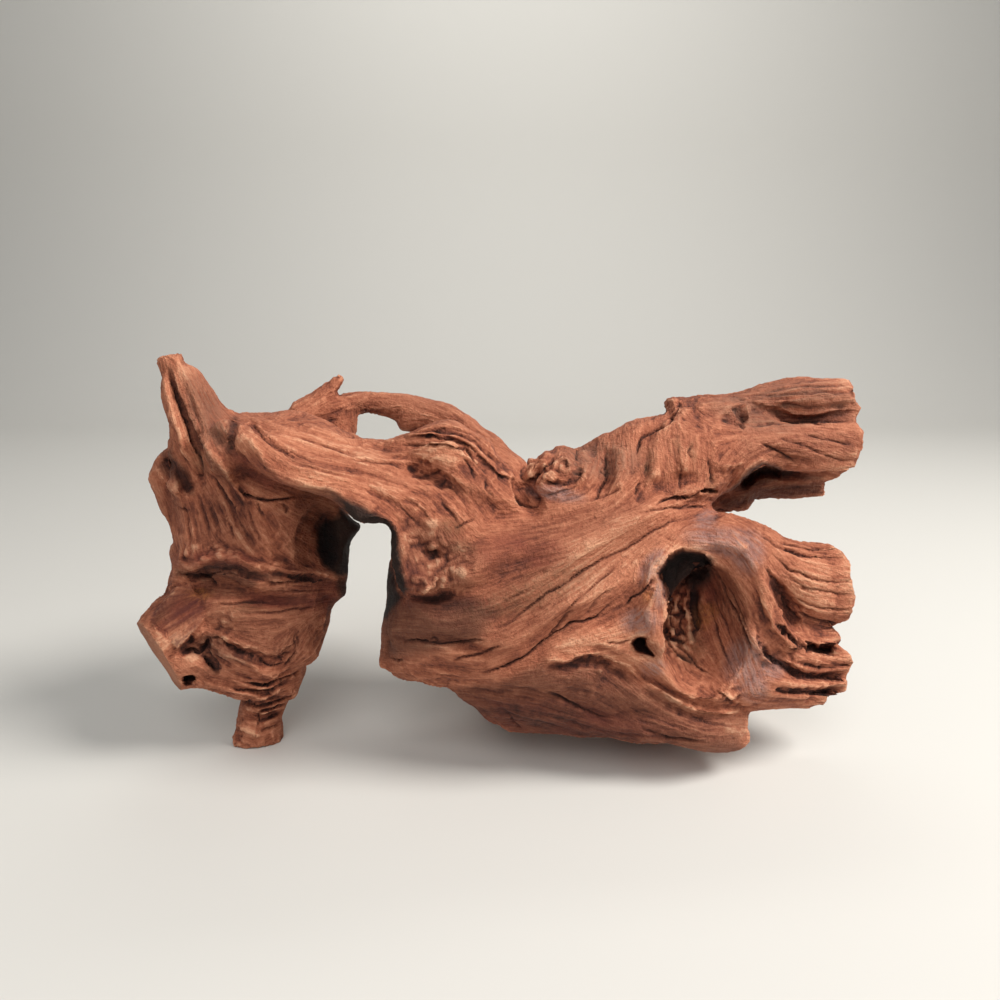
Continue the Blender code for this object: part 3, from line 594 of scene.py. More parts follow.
CRACKS = [
    # Spire
    (1.8, -1.5, [(168, 368), (175, 388), (183, 414), (192, 439), (200, 458), (203, 475)]),
    (2.2, -0.9, [(206, 470), (222, 490), (234, 509), (246, 530), (256, 546)]),
    # Under the strap
    (1.8, -1.8, [(238, 486), (246, 494), (254, 498), (270, 500), (298, 497)]),
    (1.5, -1.2, [(256, 500), (258, 510), (264, 516)]),
    (1.4, -0.8, [(282, 502), (288, 508), (286, 514)]),
    # Flutes
    (1.6, -0.7, [(182, 500), (188, 520), (190, 544)]),
    # Ledge
    (1.6, -1.0, [(178, 574), (196, 576), (210, 574), (222, 571), (240, 576)]),
    (1.5, -1.0, [(208, 574), (212, 580), (216, 584)]),
    (1.6, -1.2, [(260, 581), (274, 585), (300, 580), (330, 580)]),
    (1.4, -0.9, [(214, 606), (226, 604), (246, 602), (280, 602)]),
    (1.4, -0.8, [(262, 592), (290, 592), (330, 590)]),
    (1.3, -0.7, [(240, 612), (280, 612), (320, 606)]),
    # Crevice and wrinkles
    (2.4, -2.0, [(182, 655), (192, 650), (200, 652), (206, 645), (208, 638)]),
    (1.8, -1.5, [(208, 637), (218, 637), (228, 645), (240, 651), (256, 657)]),
    (2.4, -1.8, [(205, 655), (210, 662), (215, 668), (218, 674)]),
    (1.6, -1.3, [(258, 657), (264, 664), (274, 666), (286, 662)]),
    (1.5, -1.2, [(284, 667), (292, 658), (296, 650)]),
    (1.8, -1.5, [(238, 679), (252, 684), (268, 684), (284, 680), (300, 670)]),
    (1.5, -1.2, [(226, 686), (242, 690), (258, 692), (274, 689), (290, 680)]),
    (1.5, -1.2, [(244, 702), (258, 706), (272, 703), (292, 695)]),
    (1.4, -1.1, [(258, 712), (270, 710), (286, 704)]),
    (1.4, -1.2, [(260, 722), (268, 718), (280, 714)]),
    (1.4, -1.2, [(258, 728), (260, 720), (258, 712)]),
    (1.4, -1.0, [(262, 732), (270, 728), (278, 724)]),
    (1.2, -0.7, [(295, 632), (295, 642), (296, 656)]),
    (1.2, -0.7, [(298, 630), (298, 640), (299, 650)]),
    (3.0, -1.8, [(184, 679), (190, 677), (195, 680)]),
    # Strap and beam
    (1.7, -1.0, [(250, 416), (256, 428), (266, 440), (280, 450), (300, 460)]),
    (1.4, -0.8, [(262, 430), (274, 444), (292, 452), (318, 464)]),
    (1.4, -0.7, [(270, 446), (290, 458), (320, 470), (350, 476)]),
    (1.3, -0.7, [(300, 436), (330, 448), (360, 456)]),
    (1.5, -1.0, [(354, 459), (372, 462), (392, 464), (406, 470)]),
    (1.6, -0.7, [(410, 476), (422, 477), (434, 474), (442, 469)]),
    (1.6, -1.3, [(400, 444), (420, 445), (440, 445), (456, 448), (466, 450), (474, 461), (482, 469),
                 (490, 474)]),
    (1.5, -1.1, [(404, 438), (430, 436), (452, 440), (470, 447), (486, 462), (500, 475), (520, 482)]),
    (1.3, -0.8, [(410, 434), (432, 431), (456, 433), (474, 441), (490, 456), (502, 466)]),
    (1.3, -0.7, [(430, 428), (456, 428), (472, 434), (490, 450)]),
    (1.5, -0.7, [(446, 484), (454, 490), (458, 496)]),
    (1.5, -0.9, [(484, 479), (487, 489), (494, 498)]),
    (1.8, -1.4, [(513, 496), (519, 503), (532, 507), (540, 505)]),
    (1.3, -0.8, [(462, 456), (470, 468), (476, 482)]),
    (1.3, -0.5, [(392, 500), (408, 514), (420, 528)]),
    (1.3, -0.5, [(406, 496), (424, 512), (436, 528)]),
    (1.2, -0.7, [(440, 500), (452, 514), (458, 526)]),
    (1.4, -0.9, [(454, 530), (464, 524), (476, 519)]),
    (1.6, -0.8, [(430, 540), (426, 547), (430, 553), (437, 550), (434, 560)]),
    # Knob
    (1.9, -1.4, [(526, 482), (535, 478), (546, 467), (555, 458)]),
    (1.5, -0.9, [(528, 463), (521, 471), (521, 477), (526, 482)]),
    (1.4, -0.9, [(543, 481), (553, 483), (561, 485), (572, 483)]),
    (1.3, -0.7, [(558, 470), (560, 462), (566, 461), (567, 467), (563, 469)]),
    (1.3, -0.7, [(544, 497), (555, 494), (569, 490), (578, 485)]),
    (1.3, -0.6, [(548, 503), (564, 500), (584, 493), (596, 484)]),
    (1.6, -1.2, [(578, 448), (577, 460)]),
    (1.6, -1.2, [(580, 469), (578, 477), (573, 483)]),
    # Shoulder
    (1.7, -1.3, [(607, 451), (605, 458), (605, 470), (606, 478), (601, 488), (598, 495), (590, 501)]),
    (1.9, -1.6, [(680, 402), (676, 413), (668, 423), (654, 431), (643, 437), (637, 448), (635, 456)]),
    (1.4, -0.8, [(645, 461), (645, 477)]),
    (1.4, -1.0, [(641, 480), (638, 488), (635, 496)]),
    (1.3, -0.8, [(680, 462), (681, 476), (680, 490)]),
    (1.5, -1.0, [(692, 444), (689, 452), (694, 460)]),
    (1.4, -1.0, [(708, 456), (710, 470), (712, 484)]),
    (1.9, -2.4, [(700, 491), (705, 490), (711, 490), (719, 492)]),
    (1.7, -1.7, [(655, 505), (662, 501), (672, 498), (679, 497), (690, 498), (700, 492)]),
    (2.0, -1.6, [(673, 498), (680, 497), (690, 498)]),
    (1.4, -1.2, [(643, 513), (658, 509), (672, 508), (684, 507), (698, 507), (708, 510)]),
    (1.3, -0.7, [(586, 500), (604, 496), (620, 488)]),
    # Upper stub
    (1.8, -1.0, [(733, 420), (740, 425), (746, 427)]),
    (1.6, -1.2, [(748, 427), (770, 424), (800, 422), (854, 421)]),
    (1.4, -0.9, [(760, 442), (776, 450), (786, 456), (796, 462)]),
    (1.3, -0.8, [(776, 436), (800, 444), (830, 456), (850, 464)]),
    (1.3, -0.8, [(800, 432), (826, 438), (856, 448)]),
    (1.2, -0.7, [(750, 396), (784, 394), (820, 392), (850, 394)]),
    (1.2, -0.7, [(760, 392), (800, 386), (846, 386)]),
    # Body
    (1.7, -1.05, [(707, 513), (690, 516), (672, 521), (655, 530), (640, 540), (620, 551), (598, 562),
                  (580, 573), (560, 586), (550, 592), (538, 601), (520, 614), (509, 624), (493, 630)]),
    (1.7, -1.3, [(479, 674), (494, 670), (510, 664), (523, 658), (536, 648), (549, 638), (558, 631),
                 (571, 623), (584, 621), (597, 616), (606, 608), (614, 600)]),
    (1.7, -1.2, [(624, 606), (630, 599), (642, 592), (650, 585), (657, 576)]),
    (1.5, -1.2, [(454, 661), (466, 657), (480, 653), (490, 650), (500, 645)]),
    (1.6, -1.3, [(398, 638), (406, 641), (417, 640), (428, 641), (442, 643), (456, 643), (470, 641),
                 (486, 640)]),
    (1.3, -0.9, [(430, 640), (434, 637), (438, 641)]),
    (1.3, -0.9, [(389, 658), (396, 660), (404, 661)]),
    (1.3, -0.9, [(564, 616), (574, 604), (586, 592), (600, 580), (616, 566)]),
    (1.3, -0.8, [(546, 640), (560, 622), (574, 610)]),
    (1.2, -0.7, [(586, 612), (598, 600), (612, 588)]),
    (1.2, -0.7, [(500, 604), (516, 596), (530, 590)]),
    (1.3, -1.0, [(545, 690), (560, 697), (576, 706), (600, 716), (614, 717)]),
    (1.2, -0.8, [(508, 712), (514, 722), (522, 730)]),
    (1.3, -0.9, [(606, 642), (620, 644), (632, 641)]),
    (1.2, -0.8, [(640, 728), (670, 738), (706, 742)]),
    # Knot hollow
    (2.0, -1.6, [(694, 584), (692, 600), (694, 616), (698, 632)]),
    (1.7, -1.3, [(668, 594), (673, 604), (669, 616), (674, 628)]),
    (1.7, -1.3, [(682, 592), (677, 604), (684, 614), (680, 626), (688, 640)]),
    (1.5, -1.0, [(663, 628), (670, 646), (680, 656), (694, 664)]),
    (1.5, -1.0, [(672, 642), (684, 650), (698, 666), (712, 676)]),
    (1.6, -1.3, [(664, 622), (670, 638), (682, 642), (690, 640)]),
    (1.6, -1.2, [(716, 572), (728, 598), (742, 626), (754, 656)]),
    (1.4, -1.0, [(728, 586), (740, 612), (752, 640)]),
    (1.3, -0.8, [(708, 600), (718, 634), (732, 666)]),
    (1.6, -1.2, [(764, 564), (772, 576), (780, 590), (786, 606), (797, 618)]),
    (2.0, -1.8, [(776, 622), (786, 634), (798, 644), (808, 650)]),
    (2.0, -1.8, [(757, 636), (762, 650), (772, 660), (784, 666), (792, 674), (802, 678)]),
    (2.4, -2.4, [(808, 647), (820, 649), (832, 650)]),
    (1.4, -1.2, [(790, 672), (812, 676), (840, 677)]),
    (1.5, -1.3, [(776, 690), (800, 693), (822, 693), (842, 691)]),
    (1.3, -1.0, [(804, 664), (824, 668), (846, 667)]),
    (1.4, -1.0, [(716, 690), (726, 698), (734, 704)]),
    (1.2, -0.8, [(690, 716), (712, 724), (736, 726)]),
    # Lower stub
    (1.3, -0.9, [(756, 530), (776, 546), (800, 556), (846, 560)]),
    (1.3, -0.9, [(776, 540), (800, 548), (842, 552)]),
    (1.3, -0.9, [(770, 552), (790, 570), (818, 580), (850, 583)]),
    (1.3, -0.9, [(784, 576), (806, 588), (850, 596)]),
    (1.3, -0.9, [(790, 596), (812, 606), (846, 612)]),
    (1.3, -0.9, [(798, 612), (816, 620), (836, 624)]),
]


# Where the outline is drawn in or out a little: (pixel, shift in pixels, reach in pixels)
SHIFTS = [
    # Spire and left rim
    ((162, 358), (-4, -3), 9),
    ((192, 357), (-6, 5), 10),
    ((165, 430), (4, 0), 18),
    ((226, 401), (-3, 3), 12),
    ((151, 480), (-4, 0), 10),
    ((164, 526), (5, 0), 14),
    ((167, 566), (4, 0), 9),
    # Cut stub and foot
    ((164, 598), (-5, -2), 14),
    ((142, 622), (-5, 2), 14),
    ((160, 652), (-8, 3), 20),
    ((180, 676), (-8, 6), 16),
    ((203, 685), (0, 6), 9),
    ((228, 692), (0, -6), 11),
    ((236, 740), (-4, 4), 11),
    ((280, 740), (3, 3), 11),
    ((312, 658), (6, 2), 13),
    ((292, 698), (4, 0), 8),
    ((336, 604), (-5, 0), 14),
    # Rear arch, knob and shoulder
    ((410, 425), (-7, 4), 11),
    ((452, 412), (1, -3), 18),
    ((490, 440), (3, -3), 14),
    ((536, 452), (0, 5), 6),
    ((562, 448), (0, -3), 12),
    ((630, 430), (0, -4), 16),
    ((600, 440), (0, -3), 12),
    ((674, 400), (-4, -5), 12),
    # Stubs
    ((738, 506), (9, 3), 12),
    ((780, 534), (0, 5), 13),
    ((826, 546), (2, -3), 14),
    ((806, 706), (4, 3), 12),
    ((748, 730), (-6, 0), 12),
    # Body
    ((380, 668), (-7, 4), 12),
    ((448, 692), (0, -5), 10),
    ((490, 722), (-3, 4), 13),
    ((374, 540), (14, -13), 18),
    ((347, 524), (13, 1), 14),
    ((352, 508), (4, 11), 12),
    ((340, 594), (6, 0), 8),
    ((560, 748), (0, -5), 26),
    ((610, 757), (0, -8), 30),
    ((670, 757), (0, -8), 30),
    ((346, 390), (-6, 2), 7),
    ((334, 382), (3, 3), 7),
]

# Deep places on the front, sunk straight away from the camera:
# (half width in pixels, depth in millimetres, pixels)
CAVES = [
    # Doorway: the dark side of the trunk
    (14, 3.5, [(326, 508), (324, 530), (328, 552), (336, 566)]),
    # Cavities at the strap's start and under the spire's strips
    (4, 1.4, [(233, 418), (233, 432), (230, 444)]),
    (10, 2.6, [(166, 456), (174, 466), (184, 478), (192, 492)]),
    # Ledge
    (8, 2.1, [(178, 574), (194, 577), (206, 571), (221, 567), (237, 569), (251, 575), (268, 578)]),
    # Under the lumps of the body
    (5, 1.0, [(408, 597), (424, 599), (440, 599), (454, 594)]),
    # Pocket under the crest of the upper stub
    (7, 3.5, [(742, 486), (752, 476), (764, 470), (780, 474)]),
    (2.4, 1.8, [(702, 491), (710, 491), (718, 492)]),
    (2.2, 1.2, [(673, 498), (680, 498), (688, 498)]),
    # Knot hollow, the hole beside it and the gap in the jaws
    (15, 4.0, [(676, 574), (690, 567), (706, 569)]),
    (5, 3.4, [(806, 647), (820, 650), (834, 651)]),
    (5, 2.0, [(781, 598), (790, 612), (800, 622)]),
]

# Places sunk to a plane behind them: (the plane's y in millimetres, edge in pixels, outline)
SUNK = [
    # Upper left of the knot hollow
    (-25, 4, [(683, 551), (669, 559), (660, 574), (664, 588), (667, 602), (680, 596), (690, 588),
              (706, 580), (714, 568), (704, 556)]),
    # Hole beside it
    (-33, 3, [(632, 643), (638, 638), (646, 639), (645, 646), (652, 656), (645, 652), (638, 650)]),
    # Notch under the sawn face
    (-25, 3, [(184, 677), (189, 676), (194, 679), (192, 684), (186, 685)]),
]

# Broken right ends of the two stubs: pixels down their edge
STUB_ENDS = [
    [(846, 376), (848, 380), (853, 387), (854, 400), (860, 409), (856, 416), (855, 423), (862, 430),
     (861, 446), (857, 458), (852, 467), (837, 477), (824, 482), (821, 497)],
    [(823, 540), (840, 551), (848, 563), (850, 582), (854, 596), (851, 612), (846, 620), (831, 626),
     (838, 635), (839, 641), (835, 643), (848, 654), (851, 663), (847, 671), (845, 675), (844, 692),
     (826, 696), (823, 705)],
]
END_REACH = 16
END_MARGIN = 1.5
END_RAGGED = (1.6, 1.6)
END_SEED = 60
END_STRETCH = (1, 0.3, 1)
END_FACING = (0.1, 0.35)

# Flat faces of the cut stub: a point in millimetres and the way the face looks
STUB_MIDDLE = (-100, -28, 40)
STUB_REACH = 18
SAWN_PLACE = (-108.9, -24, 46.2)
SAWN_WAY = (-0.69, -0.645, -0.329)
SPLIT_PLACE = (-104.4, -27, 49)
SPLIT_WAY = (-0.212, -0.876, 0.433)
SPLIT_FACE = [(149, 617), (157, 607), (176, 586), (190, 583), (199, 596), (207, 608), (204, 620),
              (191, 636), (178, 650), (165, 637), (157, 628)]
SPLIT_LIMIT = 3.0
SPLIT_EDGE = 2
SPLIT_REACH = 1.5
STUB_FADE = 4
SAWN_DEPTH = 0.15 * MM

# Patches on the front: (pixel, half sizes in pixels, turn in degrees)
PATCH_EDGE = 0.45
LUMPY = [
    ((430, 572), (34, 20), 0),
    ((452, 562), (20, 20), 0),
    ((424, 536), (22, 26), 30),
    ((206, 553), (36, 9), 0),
    ((684, 612), (20, 42), 0),
    ((676, 640), (16, 26), -20),
    ((682, 570), (18, 16), 0),
    ((732, 696), (10, 9), 0),
    ((548, 468), (22, 17), -20),
    ((200, 650), (22, 10), -20),
    ((226, 626), (10, 14), 0),
]
CALM = [
    ((540, 570), (130, 56), -22),
    ((430, 630), (50, 36), 0),
    ((808, 582), (50, 42), 0),
    ((330, 466), (80, 26), 14),
    ((430, 406), (90, 14), 12),
    ((740, 610), (30, 50), -10),
    ((700, 540), (50, 20), 10),
    ((190, 400), (26, 40), -30),
    ((800, 450), (60, 24), 8),
    ((276, 612), (50, 12), 0),
    ((656, 456), (56, 34), 0),
    ((270, 480), (40, 16), 20),
]
PURPLE = [
    ((722, 541), (34, 14), 8),
    ((748, 552), (16, 20), 0),
    ((706, 520), (12, 8), -40),
    ((652, 566), (18, 9), -55),
    ((640, 622), (18, 12), 0),
    ((660, 594), (7, 14), 0),
    ((752, 684), (14, 18), -30),
    ((744, 660), (18, 22), 20),
    ((772, 668), (12, 12), 0),
    ((556, 494), (26, 7), 8),
    ((654, 668), (12, 8), 0),
]
OCHRE = [
    ((706, 612), (12, 9), 0),
    ((700, 622), (9, 7), 0),
    ((651, 597), (8, 7), 0),
    ((200, 594), (12, 6), 0),
]
GREENISH = [
    ((462, 547), (14, 7), 10),
    ((452, 526), (12, 10), 0),
    ((500, 604), (50, 12), -8),
    ((546, 586), (46, 16), -20),
    ((650, 466), (6, 14), 5),
    ((677, 447), (4, 11), 0),
    ((693, 452), (5, 12), 0),
    ((712, 484), (5, 8), 0),
    ((690, 650), (14, 16), 0),
    ((200, 458), (8, 14), 0),
    ((246, 608), (16, 6), 0),
]
WEATHERED = [
    ((800, 400), (60, 20), 0),
    ((740, 408), (30, 14), 0),
    ((206, 412), (16, 42), -28),
    ((770, 424), (40, 8), 0),
    ((600, 460), (40, 18), 0),
]
# Painted light: paler patches on lit faces, tops and crests
PAINTED_LIGHT = [
    ((184, 371), (8, 10), 20),
    ((848, 386), (12, 8), 0),
    ((250, 731), (9, 5), 30),
    ((330, 448), (50, 12), 12),
    ((350, 484), (60, 10), 8),
    ((452, 454), (40, 13), 10),
    ((600, 640), (40, 14), -8),
    ((620, 662), (26, 8), 12),
    ((690, 706), (50, 8), 10),
    ((736, 722), (16, 16), 0),
    ((168, 640), (16, 8), -30),
    ((600, 560), (80, 30), -25),
    ((820, 590), (30, 30), 0),
]
REDDISH = [
    ((190, 604), (26, 14), -28),
    ((262, 474), (36, 12), 25),
    ((212, 560), (40, 10), 0),
    ((330, 598), (40, 14), 0),
    ((700, 590), (20, 26), 0),
    ((560, 720), (100, 18), 6),
    ((520, 556), (44, 20), 0),
    ((410, 580), (16, 16), 0),
    ((440, 602), (50, 8), 0),
    ((276, 600), (40, 8), 0),
]


def patch_weight(places, patches):
    """1 inside drawn patches, fading to 0 over their edges."""
    weight = np.zeros(len(places))
    for middle, size, turn in patches:
        offset = places - np.array(middle, dtype=float)
        turned = math.radians(turn)
        across = offset[:, 0] * math.cos(turned) + offset[:, 1] * math.sin(turned)
        down = -offset[:, 0] * math.sin(turned) + offset[:, 1] * math.cos(turned)
        reach = np.hypot(across / size[0], down / size[1])
        weight = np.maximum(weight, np.clip((1 + PATCH_EDGE - reach) / (2 * PATCH_EDGE), 0, 1))
    return weight * weight * (3 - 2 * weight)


def area_weight(places, outline, edge):
    """1 inside a drawn outline, fading to 0 over its edge, which is given in pixels."""
    corners = np.array(outline, dtype=float)
    low = corners.min(axis=0) - edge
    high = corners.max(axis=0) + edge
    near = np.nonzero(np.all((places > low) & (places < high), axis=1))[0]
    across, down = places[near, 0], places[near, 1]
    inside = np.zeros(len(near), dtype=bool)
    for (x1, y1), (x2, y2) in zip(corners, np.roll(corners, -1, axis=0)):
        between = (down > min(y1, y2)) & (down <= max(y1, y2))
        if y1 != y2:
            inside ^= between & (across < x1 + (down - y1) * (x2 - x1) / (y2 - y1))
    gap, _, _ = nearest_on_line(places[near], np.vstack((corners, corners[:1])))
    weight = np.zeros(len(places))
    weight[near] = np.clip(0.5 + np.where(inside, gap, -gap) / edge, 0, 1)
    return weight


# Shaded places on the front: (strength, edge in pixels, outline)
SHADE = [
    # Underside of the body, below the ledge and the lip
    (0.62, 8, [(440, 690), (500, 683), (540, 666), (566, 666), (580, 660), (592, 658), (621, 668),
               (645, 690), (680, 712), (712, 724), (740, 736), (745, 760), (600, 762), (500, 726),
               (450, 700)]),
    # Lumps of the body, body's middle, neck, arch, upper stub and lip: a little darker
    (0.48, 18, [(404, 520), (440, 524), (476, 548), (474, 590), (404, 590), (398, 560)]),
    (0.2, 24, [(470, 540), (520, 520), (640, 500), (660, 530), (600, 590), (500, 640), (470, 600)]),
    (0.22, 14, [(345, 392), (400, 390), (450, 406), (500, 444), (470, 428), (400, 410), (350, 412)]),
    (0.3, 14, [(740, 436), (790, 430), (860, 432), (860, 466), (800, 466), (760, 456), (740, 466)]),
    (0.3, 10, [(640, 716), (700, 722), (744, 722), (744, 748), (640, 748)]),
    (0.18, 14, [(212, 600), (330, 600), (310, 660), (230, 640)]),
    # Left end of the body
    (0.8, 14, [(380, 604), (402, 597), (470, 596), (500, 612), (480, 640), (430, 652), (384, 660)]),
    # Trunk in the strap's shadow, and the neck
    (0.55, 8, [(300, 487), (327, 489), (342, 500), (342, 512), (322, 522), (314, 540), (300, 530),
               (290, 504)]),
    (0.3, 16, [(270, 504), (318, 490), (330, 575), (344, 600), (300, 612), (240, 608), (262, 596),
               (290, 570)]),
    (0.35, 14, [(205, 486), (250, 500), (262, 556), (236, 560), (200, 552)]),
    (0.3, 14, [(212, 604), (262, 604), (330, 596), (322, 640), (296, 668), (240, 650), (212, 630)]),
    # Under the strap's start
    (0.3, 10, [(228, 458), (246, 462), (270, 484), (310, 490), (300, 498), (256, 498), (238, 484)]),
    # Pocket of the left rim
    (0.85, 4, [(162, 450), (171, 449), (174, 459), (185, 468), (191, 476), (196, 496), (189, 494),
               (177, 482), (164, 473), (159, 465)]),
    (0.35, 8, [(152, 482), (164, 484), (180, 500), (182, 516), (168, 530), (158, 500)]),
    # Flank of the spire between its crack and its ridge
    (0.5, 3, [(168, 367), (172, 367), (183, 396), (196, 425), (208, 449), (222, 466), (234, 485),
              (226, 487), (212, 471), (203, 475), (200, 458), (192, 439), (183, 414), (175, 388)]),
    (0.25, 10, [(182, 372), (200, 378), (222, 408), (232, 450), (214, 450), (196, 418)]),
    # Cavity at the strap's start
    (0.75, 5, [(230, 416), (236, 416), (238, 426), (234, 440), (231, 451), (228, 440), (227, 426)]),
    # Ledge
    (0.75, 4, [(175, 568), (194, 572), (204, 564), (219, 560), (236, 563), (249, 570), (262, 573),
               (283, 572), (282, 580), (262, 580), (252, 588), (236, 582), (222, 578), (206, 584),
               (196, 579), (176, 577)]),
    (0.45, 6, [(198, 576), (250, 580), (240, 600), (214, 600), (204, 590)]),
    # Crevice of the cut stub and the crumbly wood beside it
    (0.7, 5, [(178, 643), (192, 642), (209, 633), (217, 631), (221, 640), (236, 650), (255, 659),
              (262, 661), (249, 665), (230, 661), (215, 659), (223, 667), (215, 676), (209, 667),
              (202, 659), (194, 655), (181, 653)]),
    (0.4, 6, [(217, 612), (228, 612), (236, 622), (234, 636), (222, 640), (216, 630)]),
    (0.35, 10, [(236, 606), (300, 604), (318, 612), (300, 650), (270, 656), (240, 640)]),
    # Left band of the split face
    (0.6, 3, [(150, 619), (162, 610), (175, 601), (172, 607), (164, 619), (152, 628)]),
    # Pocket and lower plate of the upper stub
    (1.0, 5, [(727, 492), (737, 482), (751, 467), (762, 461), (776, 465), (790, 472), (820, 475),
              (824, 480), (790, 479), (765, 485), (745, 493)]),
    (0.85, 6, [(717, 500), (745, 491), (765, 485), (822, 481), (820, 495), (780, 498), (755, 502),
               (726, 511)]),
    (0.35, 6, [(746, 405), (780, 411), (807, 418), (856, 412), (856, 423), (800, 423), (760, 426),
               (746, 424)]),
    # Knot hollow: its deep upper left, the shadow beside the crumbly divider, and its right wall
    (0.9, 5, [(681, 552), (696, 554), (710, 562), (712, 580), (702, 592), (690, 582), (680, 590),
              (667, 596), (661, 576), (668, 561)]),
    (0.7, 5, [(692, 590), (702, 596), (700, 620), (696, 642), (691, 640), (692, 612)]),
    (0.4, 12, [(700, 560), (730, 566), (748, 600), (752, 640), (740, 660), (722, 620), (708, 590)]),
    (0.9, 3, [(632, 643), (638, 638), (646, 639), (645, 646), (652, 656), (645, 652), (638, 650)]),
    (0.35, 6, [(637, 643), (652, 640), (664, 648), (664, 662), (652, 660)]),
    # Below the lip's crest
    (0.55, 3, [(645, 685), (667, 694), (681, 704), (695, 711), (718, 715), (735, 715), (746, 722),
               (746, 738), (700, 730), (660, 712), (640, 696)]),
]

# Painted near-black shade where the wood lies deep in shadow: the walls of the doorway
NEAR_BLACK_SHADE = [
    (1.0, 5, [(327, 490), (343, 498), (357, 503), (375, 514), (390, 521), (394, 530), (366, 530),
              (356, 544), (352, 577), (336, 576), (324, 566), (316, 551), (316, 537), (322, 524),
              (337, 515), (343, 506), (334, 497)]),
    (1.0, 5, [(384, 518), (396, 529), (400, 556), (405, 578), (408, 590), (402, 598), (393, 609),
              (386, 619), (376, 622), (376, 540)]),
    (0.8, 4, [(337, 580), (348, 578), (350, 598), (342, 602), (338, 594)]),
    # Upper left of the knot hollow
    (0.85, 5, [(660, 571), (680, 552), (699, 553), (714, 557), (712, 575), (698, 585), (693, 602),
               (689, 607), (689, 592), (684, 580), (681, 584), (678, 591), (666, 588), (662, 578)]),
]


def area_mask(places, areas):
    """The strongest of the drawn areas at each point."""
    weight = np.zeros(len(places))
    for strength, edge, outline in areas:
        weight = np.maximum(weight, strength * area_weight(places, outline, edge))
    return weight


# Bands on the split face: (half width in pixels, strength, pixels)
BANDS = [
    (4.5, 1.0, [(152, 618), (158, 610), (166, 604)]),
    (2.4, 0.8, [(158, 609), (176, 598), (192, 590)]),
    (2.0, 0.6, [(160, 622), (182, 606), (201, 598)]),
    (3.0, 0.75, [(160, 626), (184, 611), (204, 603)]),
    (2.2, 0.6, [(164, 633), (188, 618), (204, 610)]),
]


# Parts of the solid that are evened out before the carving: (half width in pixels, pixels)
EVENED = [
    (15, [(712, 514), (672, 523), (640, 542), (598, 564), (560, 588), (523, 614), (494, 630)]),
    (15, [(470, 676), (525, 656), (550, 639), (570, 624), (592, 614), (630, 596), (652, 580)]),
    (12, [(404, 470), (424, 474), (446, 468)]),
    (14, [(406, 600), (436, 604), (470, 596)]),
    (15, [(200, 490), (214, 516), (224, 545)]),
    (15, [(222, 484), (236, 510), (248, 540)]),
    (12, [(640, 450), (642, 490)]),
    (12, [(668, 444), (670, 484)]),
    (11, [(704, 444), (706, 480)]),
    (16, [(776, 548), (806, 566), (848, 572)]),
    (14, [(784, 574), (812, 594), (848, 600)]),
    (12, [(560, 672), (590, 664), (620, 676)]),
    (11, [(650, 700), (690, 720), (730, 726)]),
    (12, [(214, 640), (250, 656), (284, 664)]),
    (13, [(182, 652), (206, 648)]),
    (12, [(204, 646), (212, 662), (216, 674)]),
    (9, [(764, 412), (800, 416), (852, 416)]),
    (10, [(736, 406), (742, 424)]),
    (13, [(168, 372), (180, 402), (192, 436), (200, 462)]),
    (12, [(414, 560), (440, 572), (456, 556)]),
]
EVENING_TURNS = 110
EVENING_PULL = 0.8
EVENED_GAIN = 3


def even_out(skin, seen):
    """Averages the skin away where the solid's steps and troughs are coarser than the wood's."""
    weight = np.zeros(len(skin.points))
    for half_width, line in EVENED:
        near, profile = stroke_weight(skin.pixels, half_width, line, 0)
        weight[near] = np.maximum(weight[near], np.clip(profile * EVENED_GAIN, 0, 1))
    weight *= seen
    edges = skin.edges[(weight[skin.edges] > 0).any(axis=1)]
    first, second = edges[:, 0], edges[:, 1]
    points = skin.points.copy()
    count = len(points)
    share = EVENING_PULL * weight / np.maximum(skin.degree, 1)
    for _ in range(EVENING_TURNS):
        for axis in range(3):
            step = points[second, axis] - points[first, axis]
            pull = np.bincount(first, weights=step, minlength=count)
            pull -= np.bincount(second, weights=step, minlength=count)
            points[:, axis] += share * pull
    skin.move(points - skin.points)


